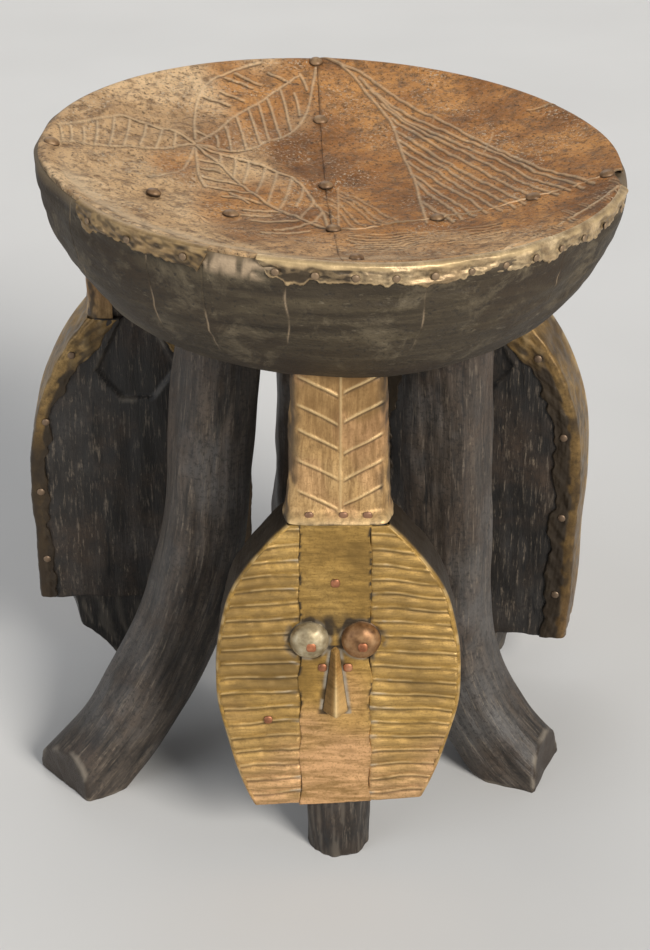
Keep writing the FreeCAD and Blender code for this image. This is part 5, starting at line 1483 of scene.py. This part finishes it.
def post_sheet(figure, seed, rows=185, columns=200):
    """Wrap: the post's loop grown by 1.2 mm from back edge to back edge, moved out by chevrons
    and dents, and flared at its foot."""
    past, sunk = (18, 0.5) if figure is FRONT_MASK else (66, -9.0)
    turn = np.linspace(math.radians(-180 - past), math.radians(past), columns)
    x, y = post_loop(turn, 1.2)
    share = np.linspace(0, 1, rows)[:, None]
    low = figure["top"] + sunk
    z = low + (post_top(figure, x, y)[None] - low) * share
    x, y = x[None] * (1.03 - 0.09 * share), y[None]
    front = smooth(-14, -19, y)
    ridge = chevrons(x - 1.2, z - low) * front
    # painted shadow: the chevrons moved 1.5 mm lower, less the ridges, darken the sheet just under
    # each stroke and dip it a little
    dark = np.clip(chevrons(x - 1.2, z - low + 1.5) - ridge, 0, 1) * front
    place = np.stack([x, y + 0 * z, z], -1)
    push = 0.5 * ridge - 0.3 * dark
    push = push + (0.45 * wander(place, 26, seed) + 0.15 * wander(place, 9, seed + 1))
    flare = smooth(0.10, 0.0, share) ** 1.6
    moved_x = x + push * np.cos(turn) + 1.6 * flare * np.sign(x)
    moved_y = y + push * np.sin(turn) - 5.4 * flare * front
    moved_y = moved_y + 2.6 * smooth(0.2, 0.08, share) * smooth(8, 14, y)
    patchy = 0.7 * wander(place * [1, 1, 0.5], 16, seed + 2) + 0.5 * wander(place, 6, seed + 4)
    patchy = smooth(-0.5, 1.1, patchy)
    foot = 0.8 * smooth(0.03, 0.0, share) * patchy * smooth(8, 2, y)
    grime = 0.75 * smooth(19, 26, np.abs(x)) * patchy + 0.45 * smooth(6, 13, y)
    grime = np.clip(grime + 0.5 * smooth(0.92, 1.0, share) + foot + 0.55 * dark, 0, 0.9)
    low_tone = 0.5 * smooth(0.3, 0.9, wander(place, 40, seed + 3))
    marks = dict(grime=grime, ridge=0.6 * ridge + 0.5 * flare, dust=0.0, low=low_tone)
    points = np.stack([moved_x, moved_y, z], -1)
    return faced(grid(from_figure(figure, points), **marks), facing(figure))


for number, (name, figure) in enumerate(FIGURES.items()):
    wrap = post_sheet(figure, 331 + 9 * number)
    add_piece(f"{name}_post_wrap", wrap, POST_BRASS, "face_brass", f"{name}_post_sheet")

# %% [markdown]
# ## Nails of the masks
# Copper nails hold the face, stand for the pupils, close the hem of the post and hold the margin
# on the back. Their places follow the construction, and the pupils are cornered, as in cut nails.

# %% Mask nails


def mask_nails(figure, seed):
    """Nails on face, hem and margin, and cornered pupils on the eyes, each along its own
    normal."""
    top, bottom = figure["top"], figure["bottom"]
    face = [(0.0, top - 36), (-7.4, top - 90.4), (7.4, top - 90.4)]
    front = [(BAND_MIDDLE + x, -FACE - 1.3, z) for x, z in face]
    front.append((-41, -FACE - 1.2, bottom + 56))
    hem = [(share * POST_HALF, -23.4, top + 4.8) for share in (-0.6, 0.1, 0.6)]
    heights = bottom + np.array([0.15, 0.4, 0.65, 0.88]) * (top - bottom)
    reach = board_half(figure, heights) - min(9.0, 0.58 * figure["margin"])
    depth = back_depth(figure, reach, heights) + 1.3
    back = np.concatenate([np.column_stack([side * reach, depth, heights]) for side in (-1, 1)])
    middle = BAND_MIDDLE + 1.0
    pupils = [(middle + side * EYE_OUT, -FACE - 9.0, top - EYE_DROP - 1.2) for side in (-1, 1)]
    sets = [
        dict(places=front, way=-1, radius=2.7, height=1.0, square=3.4, dirt=0.1, pale=0.1),
        dict(places=hem, way=-1, radius=2.6, height=0.9, square=3.4, dirt=0.25, pale=0.5),
        dict(places=back, way=1, radius=2.6, height=1.1, square=2.0, dirt=0.35, pale=0.85),
        dict(places=pupils, way=-1, radius=2.9, height=1.0, square=5.0, dirt=0.05, pale=0.0),
    ]
    made = []
    for nails in sets:
        places = np.array(nails.pop("places"), float)
        tips = from_figure(figure, places + [0, nails.pop("way"), 0])
        stood = from_figure(figure, places)
        made.append(heads(stood, tips - stood, seed=seed, **nails))
    return joined(made)


for number, (name, figure) in enumerate(FIGURES.items()):
    nails = mask_nails(figure, 401 + number)
    add_piece(f"{name}_nail_heads", nails, NAIL_COPPER, "copper_pins", f"{name}_pins")

# %% [markdown]
# ## Floor, light and camera
# A pale floor and a pale surround show the dark wood. The lamps are distant and soft: a strong one
# from the front right, as in the photograph, a weaker one that fills from the left, and one from
# behind that lifts the rim off the ground. The camera stands where the perspective of the seat and
# the feet puts it.

# %% Floor
FLOOR_REACH = 30.0


def pale_floor():
    """Pale matt ground with faint clouds."""
    made = Finish("pale_floor", 0.0, 0.2)
    cloud = made.noise(3, 3, 0.5)
    colour = made.ramp(cloud, (0.3, (0.60, 0.60, 0.595)), (0.7, (0.64, 0.64, 0.635)))
    return made.done(colour, made.ramp(cloud, (0.3, 0.75), (0.7, 0.85)))


ground = bpy.data.meshes.new("floor")
corners = FLOOR_REACH * np.array([(-1, -1, 0), (1, -1, 0), (1, 1, 0), (-1, 1, 0)], float)
ground.from_pydata(corners.tolist(), [], [(0, 1, 2, 3)])
floor = bpy.data.objects.new("floor", ground)
bpy.context.scene.collection.objects.link(floor)
floor.data.materials.append(pale_floor())

world = bpy.data.worlds.new("pale_room")
bpy.context.scene.world = world
world.use_nodes = True
surround = world.node_tree.nodes["Background"].inputs
surround["Color"].default_value = (0.80, 0.81, 0.83, 1)
surround["Strength"].default_value = 0.40
print("floor and surround ready")

# %% Lamps


def lamp(name, heading, spread, strength, colour):
    """Distant lamp that shines from a heading, softened over an angle of spread degrees."""
    light = bpy.data.lights.new(name, "SUN")
    light.angle, light.energy, light.color = math.radians(spread), strength, colour
    made = bpy.data.objects.new(name, light)
    bpy.context.scene.collection.objects.link(made)
    x, y, z = heading
    made.rotation_euler = (math.atan2(math.hypot(x, y), z), 0, math.atan2(y, x) + math.pi / 2)


lamp("front_right_lamp", (1.15, -1.5, 1.08), 24, 3.45, (1.0, 0.96, 0.90))
lamp("left_fill_lamp", (-1.5, -1.0, 0.68), 40, 0.80, (0.93, 0.96, 1.0))
lamp("back_lamp", (-0.3, 1.5, 1.1), 40, 0.63, (1.0, 0.98, 0.95))
print("lamps:", ", ".join(light.name for light in bpy.data.lights))

# %% Camera
IMAGE_HEIGHT = 950.0
FOCAL_PIXELS, SHIFT_PIXELS = 2172.0, -8.1
LOOKS_DOWN = 28.63

camera = bpy.data.cameras.new("camera")
camera.sensor_fit = "VERTICAL"
camera.sensor_height = 36.0
camera.lens = FOCAL_PIXELS * camera.sensor_height / IMAGE_HEIGHT
camera.shift_x = SHIFT_PIXELS / IMAGE_HEIGHT
eye = bpy.data.objects.new("camera", camera)
bpy.context.scene.collection.objects.link(eye)
eye.location = (0.0139, -1.2012, 0.8344)
eye.rotation_euler = (math.radians(90 - LOOKS_DOWN), 0, 0)
bpy.context.scene.camera = eye
bpy.context.scene.view_settings.view_transform = "Standard"
print("camera lens", round(camera.lens, 1), "mm")

# %% [markdown]
# The dressed stool has to stay in the box of its construction.
